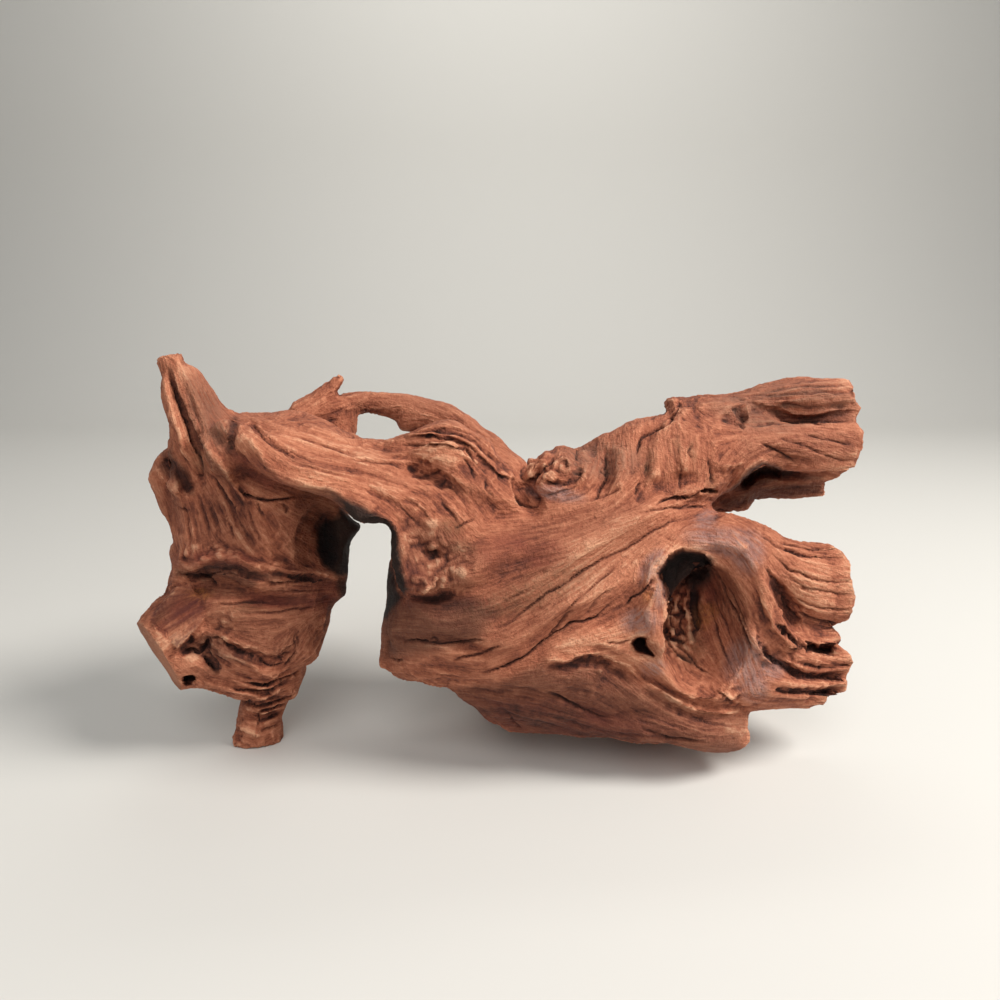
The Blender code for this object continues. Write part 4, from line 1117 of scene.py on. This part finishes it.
# Fine flutes that fan out between two drawn lines:
# (first line, last line, count, half width in pixels, height in millimetres)
FLUTES = [
    # Spire, its left strip and the trunk under them
    ([(180, 368), (196, 410), (214, 448)], [(190, 364), (212, 400), (226, 436)], 4, 2.0, -0.12),
    ([(196, 484), (203, 512), (209, 542)], [(238, 488), (252, 518), (262, 546)], 9, 2.3, -0.85),
    ([(160, 492), (168, 510), (176, 545)], [(188, 492), (194, 516), (200, 548)], 4, 2.3, -0.4),
    # Ledge, neck, wrinkles and foot
    ([(256, 560), (290, 568), (342, 577)], [(264, 584), (300, 588), (342, 585)], 5, 2.3, -0.6),
    ([(212, 604), (262, 600), (334, 597)], [(214, 622), (262, 628), (322, 612)], 5, 2.2, -0.35),
    ([(216, 642), (240, 652), (268, 664), (298, 648)],
     [(222, 672), (246, 686), (272, 686), (304, 668)], 6, 2.4, -0.6),
    ([(242, 690), (262, 694), (298, 674)], [(246, 718), (262, 722), (282, 714)], 7, 2.3, -0.75),
    # Strap, beam and the roll behind them
    ([(248, 424), (264, 440), (290, 455), (330, 466), (380, 476), (424, 492)],
     [(246, 446), (264, 470), (286, 481), (330, 487), (372, 502), (402, 532)], 9, 2.1, -0.42),
    ([(262, 420), (300, 428), (345, 442), (396, 452)],
     [(260, 434), (300, 449), (345, 461), (400, 472)], 5, 2.2, -0.4),
    ([(406, 430), (440, 424), (470, 431), (500, 452), (524, 474)],
     [(406, 442), (440, 441), (464, 448), (486, 468), (504, 482)], 6, 2.2, -0.42),
    ([(408, 450), (440, 452), (466, 460), (484, 486)],
     [(440, 478), (456, 488), (468, 505)], 5, 2.1, -0.35),
    ([(386, 488), (410, 504), (430, 530)], [(440, 478), (464, 500), (474, 528)], 9, 2.1, -0.4),
    ([(345, 399), (400, 397), (450, 413), (500, 448)],
     [(352, 408), (400, 403), (444, 418)], 3, 2.2, -0.25),
    # Body
    ([(398, 606), (450, 604), (500, 598), (550, 578), (600, 548), (660, 512)],
     [(388, 650), (450, 652), (510, 640), (556, 612), (600, 584), (636, 560)], 10, 2.1, -0.26),
    ([(470, 540), (520, 530), (570, 520), (640, 496)],
     [(480, 590), (540, 570), (600, 540), (664, 506)], 8, 2.1, -0.2),
    ([(400, 666), (470, 680), (540, 690), (610, 716), (700, 736)],
     [(460, 702), (520, 722), (600, 742), (690, 746)], 8, 2.3, -0.4),
    ([(640, 690), (670, 706), (700, 718), (742, 720)],
     [(600, 700), (650, 724), (700, 738), (744, 736)], 6, 2.1, -0.35),
    # Shoulder and upper stub
    ([(612, 448), (612, 470), (604, 492)], [(700, 432), (704, 460), (696, 484)], 9, 2.3, -0.14),
    ([(738, 462), (760, 446), (790, 436), (856, 432)],
     [(756, 458), (772, 454), (800, 464), (852, 465)], 8, 2.1, -0.4),
    ([(700, 400), (750, 394), (800, 384), (848, 382)],
     [(748, 400), (790, 406), (812, 410), (856, 404)], 5, 2.2, -0.4),
    ([(750, 406), (790, 414), (856, 412)], [(750, 424), (800, 422), (856, 422)], 4, 2.0, -0.3),
    ([(735, 490), (780, 486), (822, 484)], [(730, 506), (760, 499), (818, 494)], 4, 2.1, -0.35),
    # Lower stub
    ([(760, 528), (790, 540), (844, 552)], [(776, 590), (800, 616), (836, 622)], 12, 2.1, -0.4),
    ([(782, 642), (806, 655), (846, 666)], [(772, 690), (800, 692), (844, 690)], 4, 2.3, -0.5),
    # Knot hollow: its right wall and the left rim, whose flutes run square to its edge
    ([(700, 572), (712, 612), (728, 650), (744, 690)],
     [(748, 568), (762, 604), (770, 636), (772, 652)], 9, 2.1, -0.45),
    ([(664, 535), (681, 545)], [(640, 592), (659, 598)], 11, 1.8, -0.35),
]
FLUTE_SEED = 8
FLUTE_POINTS = 8
FLUTE_CUT = 3
FLUTE_SWAY = 0.3
FLUTE_WIDTHS = (0.85, 1.25)
FLUTE_DEPTHS = (0.45, 1.1)


def flute_strokes(seed):
    """The flutes as strokes for carve_lines, each with a length, width and depth of its own."""
    draw = np.random.default_rng(seed)
    strokes = []
    for first, last, count, half_width, height in FLUTES:
        first, last = (evenly_along(line, FLUTE_POINTS) for line in (first, last))
        for index in range(count):
            share = (index + draw.uniform(-FLUTE_SWAY, FLUTE_SWAY)) / max(count - 1, 1)
            line = first + (last - first) * min(max(share, 0), 1)
            start = int(draw.integers(0, FLUTE_CUT))
            stop = FLUTE_POINTS - int(draw.integers(0, FLUTE_CUT))
            wide = half_width * draw.uniform(*FLUTE_WIDTHS)
            deep = height * draw.uniform(*FLUTE_DEPTHS)
            strokes.append((wide, deep, line[start:stop]))
    return strokes


def evenly_along(line, count):
    """So many points, evenly spaced along a line."""
    line = np.array(line, dtype=float)
    reach = np.append(0, np.cumsum(np.linalg.norm(np.diff(line, axis=0), axis=1)))
    places = np.linspace(0, reach[-1], count)
    return np.stack([np.interp(places, reach, line[:, axis]) for axis in range(line.shape[1])], axis=1)


# Cracks on the sides, back, top and underside

HIDDEN_SEED = 5
HIDDEN_CRACKS = 95
HIDDEN_FRONT = 0.25
HIDDEN_FLOOR = 1.5 * MM
CRACK_STEP = 1.2 * MM
CRACK_STEPS = (8, 30)
CRACK_WIDTHS = (0.45, 0.95)
CRACK_DEPTHS = (0.8, 2.2)
CRACK_SWAY = 0.16 * MM
CRACK_SHORTEST_STEP = 0.2 * MM
CRACK_POINTS = 4


def hidden_cracks(skin, grain, front):
    """The height in millimetres that seeded cracks add where the photograph doesn't look."""
    draw = np.random.default_rng(HIDDEN_SEED)
    heights = np.zeros(len(skin.points))
    hidden = np.nonzero((front < HIDDEN_FRONT) & (skin.points[:, 2] > HIDDEN_FLOOR))[0]
    for start in draw.choice(hidden, HIDDEN_CRACKS, replace=False):
        steps = int(draw.integers(*CRACK_STEPS))
        half_width = draw.uniform(*CRACK_WIDTHS) * MM
        depth = -draw.uniform(*CRACK_DEPTHS)
        far = np.linalg.norm(skin.points - skin.points[start], axis=1)
        near = np.nonzero(far < steps * CRACK_STEP)[0]
        line = [skin.points[start]]
        at = start
        for _ in range(steps):
            aim = line[-1] + grain[at] * CRACK_STEP + draw.normal(0, CRACK_SWAY, 3)
            at = near[np.argmin(np.linalg.norm(skin.points[near] - aim, axis=1))]
            line.append(skin.points[at])
        line = np.array(line)
        keep = np.append(True, np.linalg.norm(np.diff(line, axis=0), axis=1) > CRACK_SHORTEST_STEP)
        line = line[keep]
        if len(line) < CRACK_POINTS:
            continue
        near, profile = stroke_weight(skin.points, half_width, line, HIDDEN_TAPER)
        heights[near] = np.minimum(heights[near], profile * depth)
    return heights * (1 - front)


def shift_outline(skin):
    """Moves the skin sideways, square to the view, by the drawn shifts."""
    shift = np.zeros_like(skin.pixels)
    for middle, change, reach in SHIFTS:
        gap = np.linalg.norm(skin.pixels - np.array(middle, dtype=float), axis=1) / reach
        shift += np.exp(-gap * gap)[:, None] * np.array(change)
    offset = shift[:, :1] * RIGHT + shift[:, 1:] * DOWN
    skin.move(offset * (skin.depth / FOCAL)[:, None])


def sink_caves(skin, seen):
    """Sinks the deep places away from the camera. Returns how deep each point went, in millimetres."""
    depths = carve_lines(skin, seen, CAVES, CAVE_SEED, taper=FORM_TAPER)
    depths = skin.spread(depths, 1)
    sight = unit(skin.points - CAMERA_PLACE)
    for plane, border, outline in SUNK:
        weight = area_weight(wobbled(skin, SUNK_SEED), outline, border)
        behind = plane + SUNK_BEHIND * (seen < 0.5)
        sink = np.clip(behind - skin.points[:, 1] / MM, 0, None)
        sink = sink / np.maximum(sight[:, 1], STEEPEST_SIGHT)
        depths = np.maximum(depths, weight * sink)
    skin.move(sight * (depths * MM)[:, None])
    return depths


def break_ends(skin):
    """Squares off the right ends of the stubs along their edge in the photograph."""
    size, reach = END_RAGGED
    ragged = lattice_noise(skin.points * END_STRETCH, size * MM, END_SEED) * reach
    first, full = END_FACING
    for edge in STUB_ENDS:
        rows = np.array([row for _, row in edge], dtype=float)
        ends = np.array([column for column, _ in edge], dtype=float)
        column, row = skin.pixels[:, 0], skin.pixels[:, 1]
        end = np.interp(row, rows, ends) + ragged + END_MARGIN
        inside = (row > rows[0]) & (row < rows[-1]) & (column > end - END_REACH)
        facing = np.clip((skin.normals[:, 0] - first) / (full - first), 0, 1)
        shift = np.where(inside, facing * (end - column), 0)
        shift = np.where(inside & (column + shift > end), end - column, shift)
        place = np.zeros_like(skin.points)
        place[:, 0] = shift / FOCAL * skin.depth
        skin.move(place)


def cut_stub(skin):
    """Cuts the stub's two flat faces, and returns where the sawn and the split one are, from 0 to 1."""
    near = np.linalg.norm(skin.points - np.array(STUB_MIDDLE) * MM, axis=1) / (STUB_REACH * MM)
    way = np.array(SAWN_WAY)
    over = (skin.points - np.array(SAWN_PLACE) * MM) @ way
    over = np.clip(over, 0, None) * np.clip((1 - near) * STUB_FADE, 0, 1)
    skin.move(-over[:, None] * way)
    sawn = np.clip(over / SAWN_DEPTH, 0, 1)

    way = np.array(SPLIT_WAY)
    split = area_weight(skin.pixels, SPLIT_FACE, SPLIT_EDGE) * (near < SPLIT_REACH)
    split = split * (skin.normals[:, 1] < 0) * (1 - sawn)
    height = (skin.points - np.array(SPLIT_PLACE) * MM) @ way
    height = np.clip(height, -SPLIT_LIMIT * MM, SPLIT_LIMIT * MM) * split
    sight = unit(skin.points - CAMERA_PLACE)
    skin.move(-sight * (height / (sight @ way))[:, None])
    return skin.spread(sawn, 1), skin.spread(split, 1)


# Relief. Sizes, lengths and heights are in millimetres; a height is what a noise of 1 adds.
FORM_STRENGTH = 1.2
FORM_TURNS = 2
THINNEST_CRACK = 1.7
FORM_SEED = 100
CRACK_SEED = 200
LUMP_SEED = 300
MASK_SEED = 400
CAVE_SEED = 500
SUNK_SEED = 520
GROOVE_SEED = 600
SUNK_BEHIND = 1.2
STEEPEST_SIGHT = 0.3
# Slow swells: (size, height, seed)
SWELLS = ((9, 0.30, 1), (4.5, 0.14, 2))
# Streaks along the grain: (width, length, seed)
BROAD = (6.0, 20, 10)
WIDE = (3.0, 16, 11)
MIDDLE = (1.6, 9, 12)
FINE = (0.9, 5, 13)
# How streaks waver off the grain: (size, share, seed)
WAVER = (6, 0.25, 40)
# Grooves: (where the streak starts to cut, its most, height)
WIDE_GROOVE = (0.4, 1.6, -0.30)
MIDDLE_GROOVE = (0.5, 1.5, -0.26)
RIDGE_HEIGHTS = (0.12, 0.13, 0.09)
BROAD_HEIGHT = -0.30
# Crumbs on the lumpy patches: (size, height, seed), and the level they stand on
CRUMBS = ((3.2, 1.2, 50), (1.7, 0.9, 51))
CRUMB_LEVEL = 0.55
# Where the streaks are strong or weak
STRENGTH_NOISE = (14, 0.6, 3)
STRENGTH_MIDDLE = 0.75
STRENGTH_RANGE = (0.3, 1.4)
LUMPY_FADE = 0.4
CALM_FADE = 0.55
SPLIT_FADE = 0.8
HIDDEN_STRENGTH = 1.25
FRONT_FADE = 0.45
# Painted shade in cracks and deep places, the deeper the darker: (depth in millimetres, power, share)
CRACK_SHADE = (1.9, 1.2, 0.9)
CAVE_SHADE = (6, 1.5, 0.6)


def groove_depth(streak, start, most, height):
    return np.clip(streak - start, 0, most) * height


def grain_relief(skin, grain, lumps, calm, front, flat):
    """The height of grain and crumbs, in millimetres; flat is the share of the grain that is kept."""
    size, swing, seed = STRENGTH_NOISE
    strength = STRENGTH_MIDDLE + swing * lattice_noise(skin.points, size * MM, seed)
    strength = np.clip(strength, *STRENGTH_RANGE) * (1 - LUMPY_FADE * lumps) * (1 - CALM_FADE * calm)
    strength *= (HIDDEN_STRENGTH - FRONT_FADE * front) * flat
    size, share, seed = WAVER
    waver = np.stack([lattice_noise(skin.points, size * MM, seed + k) for k in range(3)], axis=1)
    wavering = grain + share * waver
    broad, wide, middle, fine = (
        streaks(skin.points, way, width * MM, length * MM, seed)
        for way, (width, length, seed) in (
            (wavering, BROAD), (wavering, WIDE), (grain, MIDDLE), (grain, FINE)
        )
    )
    grooves = groove_depth(wide, *WIDE_GROOVE) + groove_depth(middle, *MIDDLE_GROOVE)
    ridges = sum(streak * height for streak, height in zip((wide, middle, fine), RIDGE_HEIGHTS))
    ridges += np.abs(broad) * BROAD_HEIGHT
    billow = -CRUMB_LEVEL
    for size, height, seed in CRUMBS:
        billow = billow + np.abs(lattice_noise(skin.points, size * MM, seed)) * height
    return (grooves + ridges) * strength + billow * lumps


def shade_for_depth(depth, full, power, share):
    """How much painted shade a place this deep gets; full is the depth that gets the whole share."""
    return np.clip(depth / full, 0, 1) ** power * share


def build_wood(node):
    """The finished wood: a new object with carved grain, and its colour masks as attributes."""
    obj = dense_skin(node)
    skin = Skin(obj.data)
    seen = seen_points(skin, node)
    front = np.clip(skin.spread(seen, FRONT_TURNS), 0, 1)
    edge = np.clip(skin.spread(seen, EDGE_TURNS) * EDGE_GAIN, 0, 1)
    even_out(skin, edge)
    shift_outline(skin)

    heights = carve_lines(skin, edge, FORMS, FORM_SEED, taper=FORM_TAPER) * FORM_STRENGTH
    heights = skin.spread(heights, FORM_TURNS)
    swell = sum(lattice_noise(skin.points, size * MM, seed) * height for size, height, seed in SWELLS)
    skin.push(heights + swell)
    depths = sink_caves(skin, edge)
    sawn, split = cut_stub(skin)
    break_ends(skin)

    grain = grain_direction(skin, front)
    lumps = patch_weight(wobbled(skin, LUMP_SEED), LUMPY) * front
    calm = patch_weight(skin.pixels, CALM) * front
    relief = grain_relief(skin, grain, lumps, calm, front, (1 - sawn) * (1 - SPLIT_FADE * split))
    relief += carve_lines(skin, edge, flute_strokes(FLUTE_SEED), GROOVE_SEED, taper=FLUTE_TAPER)
    skin.push(relief)

    drawn = [(max(half_width, THINNEST_CRACK), height, line) for half_width, height, line in CRACKS]
    cracks = carve_lines(skin, edge, drawn, CRACK_SEED)
    cracks = np.minimum(cracks, hidden_cracks(skin, grain, front))
    skin.push(cracks)

    clamp_to_box(skin)
    masks = {
        # carved grooves, darkened in the tone as painted shade
        "groove": 0.5 - relief * GROOVE_GAIN,
        # painted shade in cracks and deep places, by their depth
        "crack_and_cave_shade": shade_for_depth(-cracks, *CRACK_SHADE) + shade_for_depth(depths, *CAVE_SHADE),
        "sawn": sawn,
        "split": split,
    }
    save_masks(skin, front, grain, masks)
    thin_out(obj, front)
    clamp_to_box(Skin(obj.data))
    return obj


def clamp_to_box(skin):
    """Keeps the skin inside the box of the CAD part."""
    low = np.array(cad_box[0])
    high = np.array(cad_box[1])
    skin.points = np.clip(skin.points, low, high)
    write_points(skin.mesh, skin.points)
    skin.normals = read_normals(skin.mesh)


# Grooves and hollows, darkened in the tone as painted shade, and rises made lighter
GROOVE_GAIN = 0.7
HOLLOW_TURNS = 40
HOLLOW_DEPTH = 0.9
DRAWN_MASKS = {
    "purple": PURPLE,
    "ochre": OCHRE,
    "greenish": GREENISH,
    "weathered": WEATHERED,
    "painted_light": PAINTED_LIGHT,
    "reddish": REDDISH,
}


def save_masks(skin, front, grain, masks):
    """Saves colour masks on the mesh, each from 0 to 1, and the grain's direction."""
    places = wobbled(skin, MASK_SEED)
    # hollows are darkened as painted shade, rises made lighter
    hollow = hollow_depth(skin)
    masks["hollow"] = hollow
    masks["ridge"] = -hollow
    masks["shade"] = area_mask(places, SHADE) * front
    # painted near-black shade in the doorway and the knot hollow
    masks["painted_black_shade"] = area_mask(places, NEAR_BLACK_SHADE) * front
    masks["band"] = band_mask(places) * masks["split"]
    for name, patches in DRAWN_MASKS.items():
        masks[name] = patch_weight(places, patches) * front
    for name, values in masks.items():
        layer = skin.mesh.attributes.new(name, "FLOAT", "POINT")
        layer.data.foreach_set("value", np.clip(values, 0, 1).astype(np.float32))
    layer = skin.mesh.attributes.new("grain", "FLOAT_VECTOR", "POINT")
    layer.data.foreach_set("vector", grain.astype(np.float32).ravel())


def band_mask(places):
    """The dark bands of the split face."""
    weight = np.zeros(len(places))
    for half_width, strength, line in BANDS:
        near, profile = stroke_weight(places, half_width, line, STROKE_TAPER)
        weight[near] = np.maximum(weight[near], profile * strength)
    return weight


def hollow_depth(skin):
    """How far each point lies under (above 0) or over the smoothed surface, about -1 to 1."""
    smooth = skin.spread(skin.points, HOLLOW_TURNS)
    sunk = np.einsum("ij,ij->i", smooth - skin.points, skin.normals) / MM
    return sunk / HOLLOW_DEPTH


def thin_out(obj, front):
    """Fewer triangles, kept where the surface bends, and fewest where the photograph doesn't look."""
    group = obj.vertex_groups.new(name="hidden")
    levels = np.round(np.clip(1 - front, 0, 1) * THINNING_LEVELS).astype(int)
    for level in range(THINNING_LEVELS + 1):
        share = HIDDEN_THINNING + (1 - HIDDEN_THINNING) * level / THINNING_LEVELS
        group.add(np.nonzero(levels == level)[0].tolist(), share, "REPLACE")
    for target, weighted in ((FIRST_TRIANGLES, False), (TRIANGLES, True)):
        triangles = sum(len(face.vertices) - 2 for face in obj.data.polygons)
        thin = obj.modifiers.new("fewer faces", "DECIMATE")
        thin.ratio = target / triangles
        if weighted:
            thin.vertex_group = group.name
            thin.vertex_group_factor = 1.0
        apply_modifiers(obj)
    obj.vertex_groups.clear()


wood = build_wood(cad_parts[NODE])
for face in wood.data.polygons:
    face.use_smooth = True
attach(wood, "root")
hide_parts(NODE)

# Material


class Nodes:
    """Small helpers that add shader nodes and link them."""

    def __init__(self, tree):
        self.tree = tree

    def add(self, kind, **settings):
        node = self.tree.nodes.new(kind)
        for name, value in settings.items():
            setattr(node, name, value)
        return node

    def feed(self, socket, value):
        """Links a socket, or sets its value."""
        if isinstance(value, bpy.types.NodeSocket):
            self.tree.links.new(value, socket)
        else:
            socket.default_value = value

    def mask(self, name):
        return self.add("ShaderNodeAttribute", attribute_name=name).outputs["Fac"]

    def maths(self, operation, first, second=0.0, third=0.0):
        node = self.add("ShaderNodeMath", operation=operation)
        for socket, value in zip(node.inputs, (first, second, third)):
            self.feed(socket, value)
        return node.outputs[0]

    def vector(self, operation, first, second):
        node = self.add("ShaderNodeVectorMath", operation=operation)
        self.feed(node.inputs[0], first)
        if operation == "SCALE":
            self.feed(node.inputs["Scale"], second)
        else:
            self.feed(node.inputs[1], second)
        return node.outputs[0]

    def noise(self, place, size, detail, roughness=0.5):
        """Noise from 0 to 1 whose lumps have the given size in millimetres."""
        node = self.add("ShaderNodeTexNoise")
        self.feed(node.inputs["Vector"], place)
        node.inputs["Scale"].default_value = 1 / (size * MM)
        node.inputs["Detail"].default_value = detail
        node.inputs["Roughness"].default_value = roughness
        return node.outputs["Fac"]

    def stretch(self, value, low, high):
        """Maps low..high to 0..1 and clamps."""
        node = self.add("ShaderNodeMapRange")
        self.feed(node.inputs["Value"], value)
        node.inputs["From Min"].default_value = low
        node.inputs["From Max"].default_value = high
        return node.outputs["Result"]

    def mix(self, share, first, second):
        node = self.add("ShaderNodeMix", data_type="RGBA")
        self.feed(node.inputs["Factor"], share)
        for name, value in (("A", first), ("B", second)):
            socket = [one for one in node.inputs if one.name == name and one.type == "RGBA"][0]
            self.feed(socket, value)
        return [one for one in node.outputs if one.type == "RGBA"][0]

    def weighed(self, *parts, start=0.0):
        """The start plus the sum of the parts' values, each times its weight."""
        total = start
        for value, weight in parts:
            total = self.maths("MULTIPLY_ADD", value, weight, total)
        return total

    def cover(self, base, share, strength, shade):
        """Paints a shade over the base, as far as share times strength says."""
        return self.mix(self.maths("MULTIPLY", share, strength), base, colour(*shade))

    def fibres(self, place, grain, size, length, taps):
        """Noise averaged along the grain: lines about size wide and length long, in millimetres."""
        total = 0.0
        for tap in range(taps):
            step = (tap / (taps - 1) - 0.5) * length * MM
            shifted = self.vector("ADD", place, self.vector("SCALE", grain, step))
            total = self.maths("ADD", total, self.noise(shifted, size, 0.0))
        return self.maths("MULTIPLY", total, 1 / taps)


def colour(red, green, blue):
    """A colour given as 0 to 255 of each, as shaders take it."""
    linear = [((value / 255 + 0.055) / 1.055) ** 2.4 for value in (red, green, blue)]
    return (*linear, 1.0)


# Textures, in millimetres: (width, length, taps) of the fibres, (size, detail, roughness) of the rest
HAIR = (0.45, 2.6, 7)
STRAND = (0.95, 6.4, 9)
STRIPE = (1.3, 16.0, 13)
CLOUD = (9.0, 3.0, 0.5)
SPECK = (1.3, 4.0, 0.72)
LOOSE = (6.0, 2.0, 0.5)
FIBRE_RANGE = (0.36, 0.64)
NOISE_RANGE = (0.3, 0.7)
# The wood's colour from groove to ridge, dark end as painted shade: (tone, red, green, blue)
WOOD_COLOURS = [
    (0.06, 58, 27, 19),
    (0.28, 112, 58, 41),
    (0.52, 158, 90, 63),
    (0.76, 192, 122, 90),
    (1.0, 224, 164, 128),
]
# Stains: (mask, colour, strength, the texture that breaks it up)
STAINS = [
    ("reddish", (128, 56, 42), 0.45, "cloud"),
    ("greenish", (108, 76, 50), 0.45, "speck"),
    ("weathered", (134, 96, 76), 0.55, "strand"),
    ("ochre", (180, 110, 50), 0.5, "speck"),
    ("purple", (146, 118, 113), 0.65, "strand"),
]
STAIN_RANGE = (0.1, 0.7)
SAWN_COLOUR = (160, 104, 78)
STRIPE_COLOUR = (104, 48, 42)
BAND_COLOUR = (84, 38, 34)
LINE_COLOUR = (70, 34, 25)
SHADE_COLOUR = (44, 20, 13)
# Colour of the painted shade in cracks and deep places
CRACK_SHADE_COLOUR = (42, 21, 16)
NEAR_BLACK_SHADE_COLOUR = (14, 9, 8)
ROUGHNESS = 0.82
GLOSS = 0.35
BUMP_STRENGTH = 0.9
BUMP_DEPTH = 0.45 * MM


def wood_finish():
    """Dry root wood: fine grain lines, light ridges, drawn stains, and painted light and shade,
    near-black in cracks.
    """
    material = bpy.data.materials.new("red_root_wood")
    material.use_nodes = True
    shader = material.node_tree.nodes["Principled BSDF"]
    make = Nodes(material.node_tree)
    place = make.add("ShaderNodeTexCoord").outputs["Object"]
    grain = make.add("ShaderNodeAttribute", attribute_name="grain").outputs["Vector"]
    hair = make.stretch(make.fibres(place, grain, *HAIR), *FIBRE_RANGE)
    strand = make.stretch(make.fibres(place, grain, *STRAND), *FIBRE_RANGE)
    cloud = make.stretch(make.noise(place, *CLOUD), *NOISE_RANGE)
    speck = make.stretch(make.noise(place, *SPECK), *NOISE_RANGE)

    # Tone: 0 in the grooves to 1 on the ridges; grooves and hollows darkened as painted shade
    tone = make.weighed(
        (make.maths("SUBTRACT", 1.0, make.mask("groove")), 0.50),
        (hair, 0.22),
        (strand, 0.22),
        (speck, 0.18),
        (cloud, 0.12),
        # painted shade in hollows, rises lighter
        (make.mask("ridge"), 0.30),
        (make.mask("hollow"), -0.40),
        # painted light on lit faces and crests
        (make.mask("painted_light"), 0.2),
        (make.mask("reddish"), -0.16),
    )
    ramp = make.add("ShaderNodeValToRGB")
    make.feed(ramp.inputs["Fac"], tone)
    elements = ramp.color_ramp.elements
    while len(elements) < len(WOOD_COLOURS):
        elements.new(0.5)
    for element, (at, *shade) in zip(elements, WOOD_COLOURS):
        element.position = at
        element.color = colour(*shade)
    base = ramp.outputs["Color"]

    # Stains over it
    textures = {"cloud": cloud, "speck": speck, "strand": strand}
    for name, shade, strength, texture in STAINS:
        broken = make.stretch(textures[texture], *STAIN_RANGE)
        share = make.maths("MULTIPLY", make.mask(name), broken)
        base = make.cover(base, share, strength, shade)

    # The cut stub's faces: the sawn one plain, the split one striped and banded
    stripe = make.stretch(make.fibres(place, grain, *STRIPE), 0.47, 0.56)
    striped = make.maths("MULTIPLY", make.mask("split"), stripe)
    base = make.cover(base, make.mask("sawn"), 0.85, SAWN_COLOUR)
    base = make.cover(base, striped, 0.7, STRIPE_COLOUR)
    base = make.cover(base, make.mask("band"), 0.85, BAND_COLOUR)

    # Thin dark lines along the grain, in loose groups
    line = make.maths("ABSOLUTE", make.maths("SUBTRACT", strand, 0.42))
    line = make.maths("SUBTRACT", 1.0, make.stretch(line, 0.0, 0.05))
    line = make.maths("MULTIPLY", line, make.stretch(make.noise(place, *LOOSE), 0.48, 0.62))
    base = make.cover(base, line, 0.4, LINE_COLOUR)

    # Painted shade: drawn shaded places, cracks and deep places by their depth, and near-black shade
    base = make.cover(base, make.mask("shade"), 0.75, SHADE_COLOUR)
    base = make.cover(base, make.mask("crack_and_cave_shade"), 1.0, CRACK_SHADE_COLOUR)
    base = make.cover(base, make.mask("painted_black_shade"), 0.95, NEAR_BLACK_SHADE_COLOUR)
    make.feed(shader.inputs["Base Color"], base)

    rough = make.weighed((make.mask("purple"), -0.2), (hair, -0.08), start=ROUGHNESS)
    make.feed(shader.inputs["Roughness"], rough)
    shader.inputs["Specular IOR Level"].default_value = GLOSS

    bump = make.add("ShaderNodeBump")
    bump.inputs["Strength"].default_value = BUMP_STRENGTH
    bump.inputs["Distance"].default_value = BUMP_DEPTH
    make.feed(bump.inputs["Height"], make.weighed((hair, 0.5), (strand, 0.8), (speck, 1.1)))
    make.feed(shader.inputs["Normal"], bump.outputs["Normal"])
    return material


wood.data.materials.clear()
wood.data.materials.append(wood_finish())

# Floor and backdrop: one pale sheet that curves up behind

SHEET_WIDTH = 3.0
SHEET_FRONT = -1.6
SHEET_BACK = 0.75
SHEET_CURVE = 0.45
SHEET_TOP = 1.8
CURVE_STEPS = 16
SHEET_COLOUR = (206, 204, 198)


def pale_sheet():
    profile = [(SHEET_FRONT, 0.0)]
    for step in range(CURVE_STEPS + 1):
        turn = step / CURVE_STEPS * math.pi / 2
        back = SHEET_BACK + SHEET_CURVE * math.sin(turn)
        profile.append((back, SHEET_CURVE * (1 - math.cos(turn))))
    profile.append((SHEET_BACK + SHEET_CURVE, SHEET_TOP))
    points = []
    faces = []
    for index, (y, z) in enumerate(profile):
        points += [(-SHEET_WIDTH / 2, y, z), (SHEET_WIDTH / 2, y, z)]
        if index:
            first = 2 * index - 2
            faces.append((first, first + 1, first + 3, first + 2))
    mesh = bpy.data.meshes.new("backdrop")
    mesh.from_pydata(points, [], faces)
    for face in mesh.polygons:
        face.use_smooth = True
    sheet = bpy.data.objects.new("backdrop", mesh)
    bpy.context.scene.collection.objects.link(sheet)
    paint = bpy.data.materials.new("pale_paint")
    paint.use_nodes = True
    shader = paint.node_tree.nodes["Principled BSDF"]
    shader.inputs["Base Color"].default_value = colour(*SHEET_COLOUR)
    shader.inputs["Roughness"].default_value = 0.85
    mesh.materials.append(paint)


pale_sheet()

# Camera

camera_data = bpy.data.cameras.new("camera")
camera_data.sensor_width = SENSOR
camera_data.lens = LENS
camera_data.clip_start = CLOSEST
camera = bpy.data.objects.new("camera", camera_data)
camera.location = CAMERA_PLACE
camera.rotation_euler = (math.pi / 2 - CAMERA_TILT, 0, 0)
bpy.context.scene.collection.objects.link(camera)
bpy.context.scene.camera = camera

# Light

WORLD_LIGHT = 0.22
WORLD_TINT = (0.95, 0.97, 1.0, 1)
# Soft round lamps: (name, place, target, width in metres, power in watts, tint)
LAMPS = [
    ("key", (0.62, -0.28, 0.78), (0, 0, 0.05), 0.4, 11.8, (1, 0.97, 0.94)),
    ("front", (-0.1, -0.75, 0.75), (0, 0, 0.05), 0.7, 4.4, (1, 1, 1)),
    ("wall", (0, 0.6, 1.1), (0, 1.25, 0.4), 0.8, 5.0, (1, 0.99, 0.97)),
]

world = bpy.data.worlds.new("studio")
world.use_nodes = True
sky = world.node_tree.nodes["Background"]
sky.inputs["Color"].default_value = WORLD_TINT
sky.inputs["Strength"].default_value = WORLD_LIGHT
bpy.context.scene.world = world
bpy.context.scene.view_settings.view_transform = "Standard"


def area_light(name, place, target, size, power, tint):
    data = bpy.data.lights.new(name, "AREA")
    data.shape = "DISK"
    data.size = size
    data.energy = power
    data.color = tint
    light = bpy.data.objects.new(name, data)
    light.location = place
    light.rotation_euler = (Vector(target) - Vector(place)).to_track_quat("-Z", "Y").to_euler()
    bpy.context.scene.collection.objects.link(light)


for lamp in LAMPS:
    area_light(*lamp)
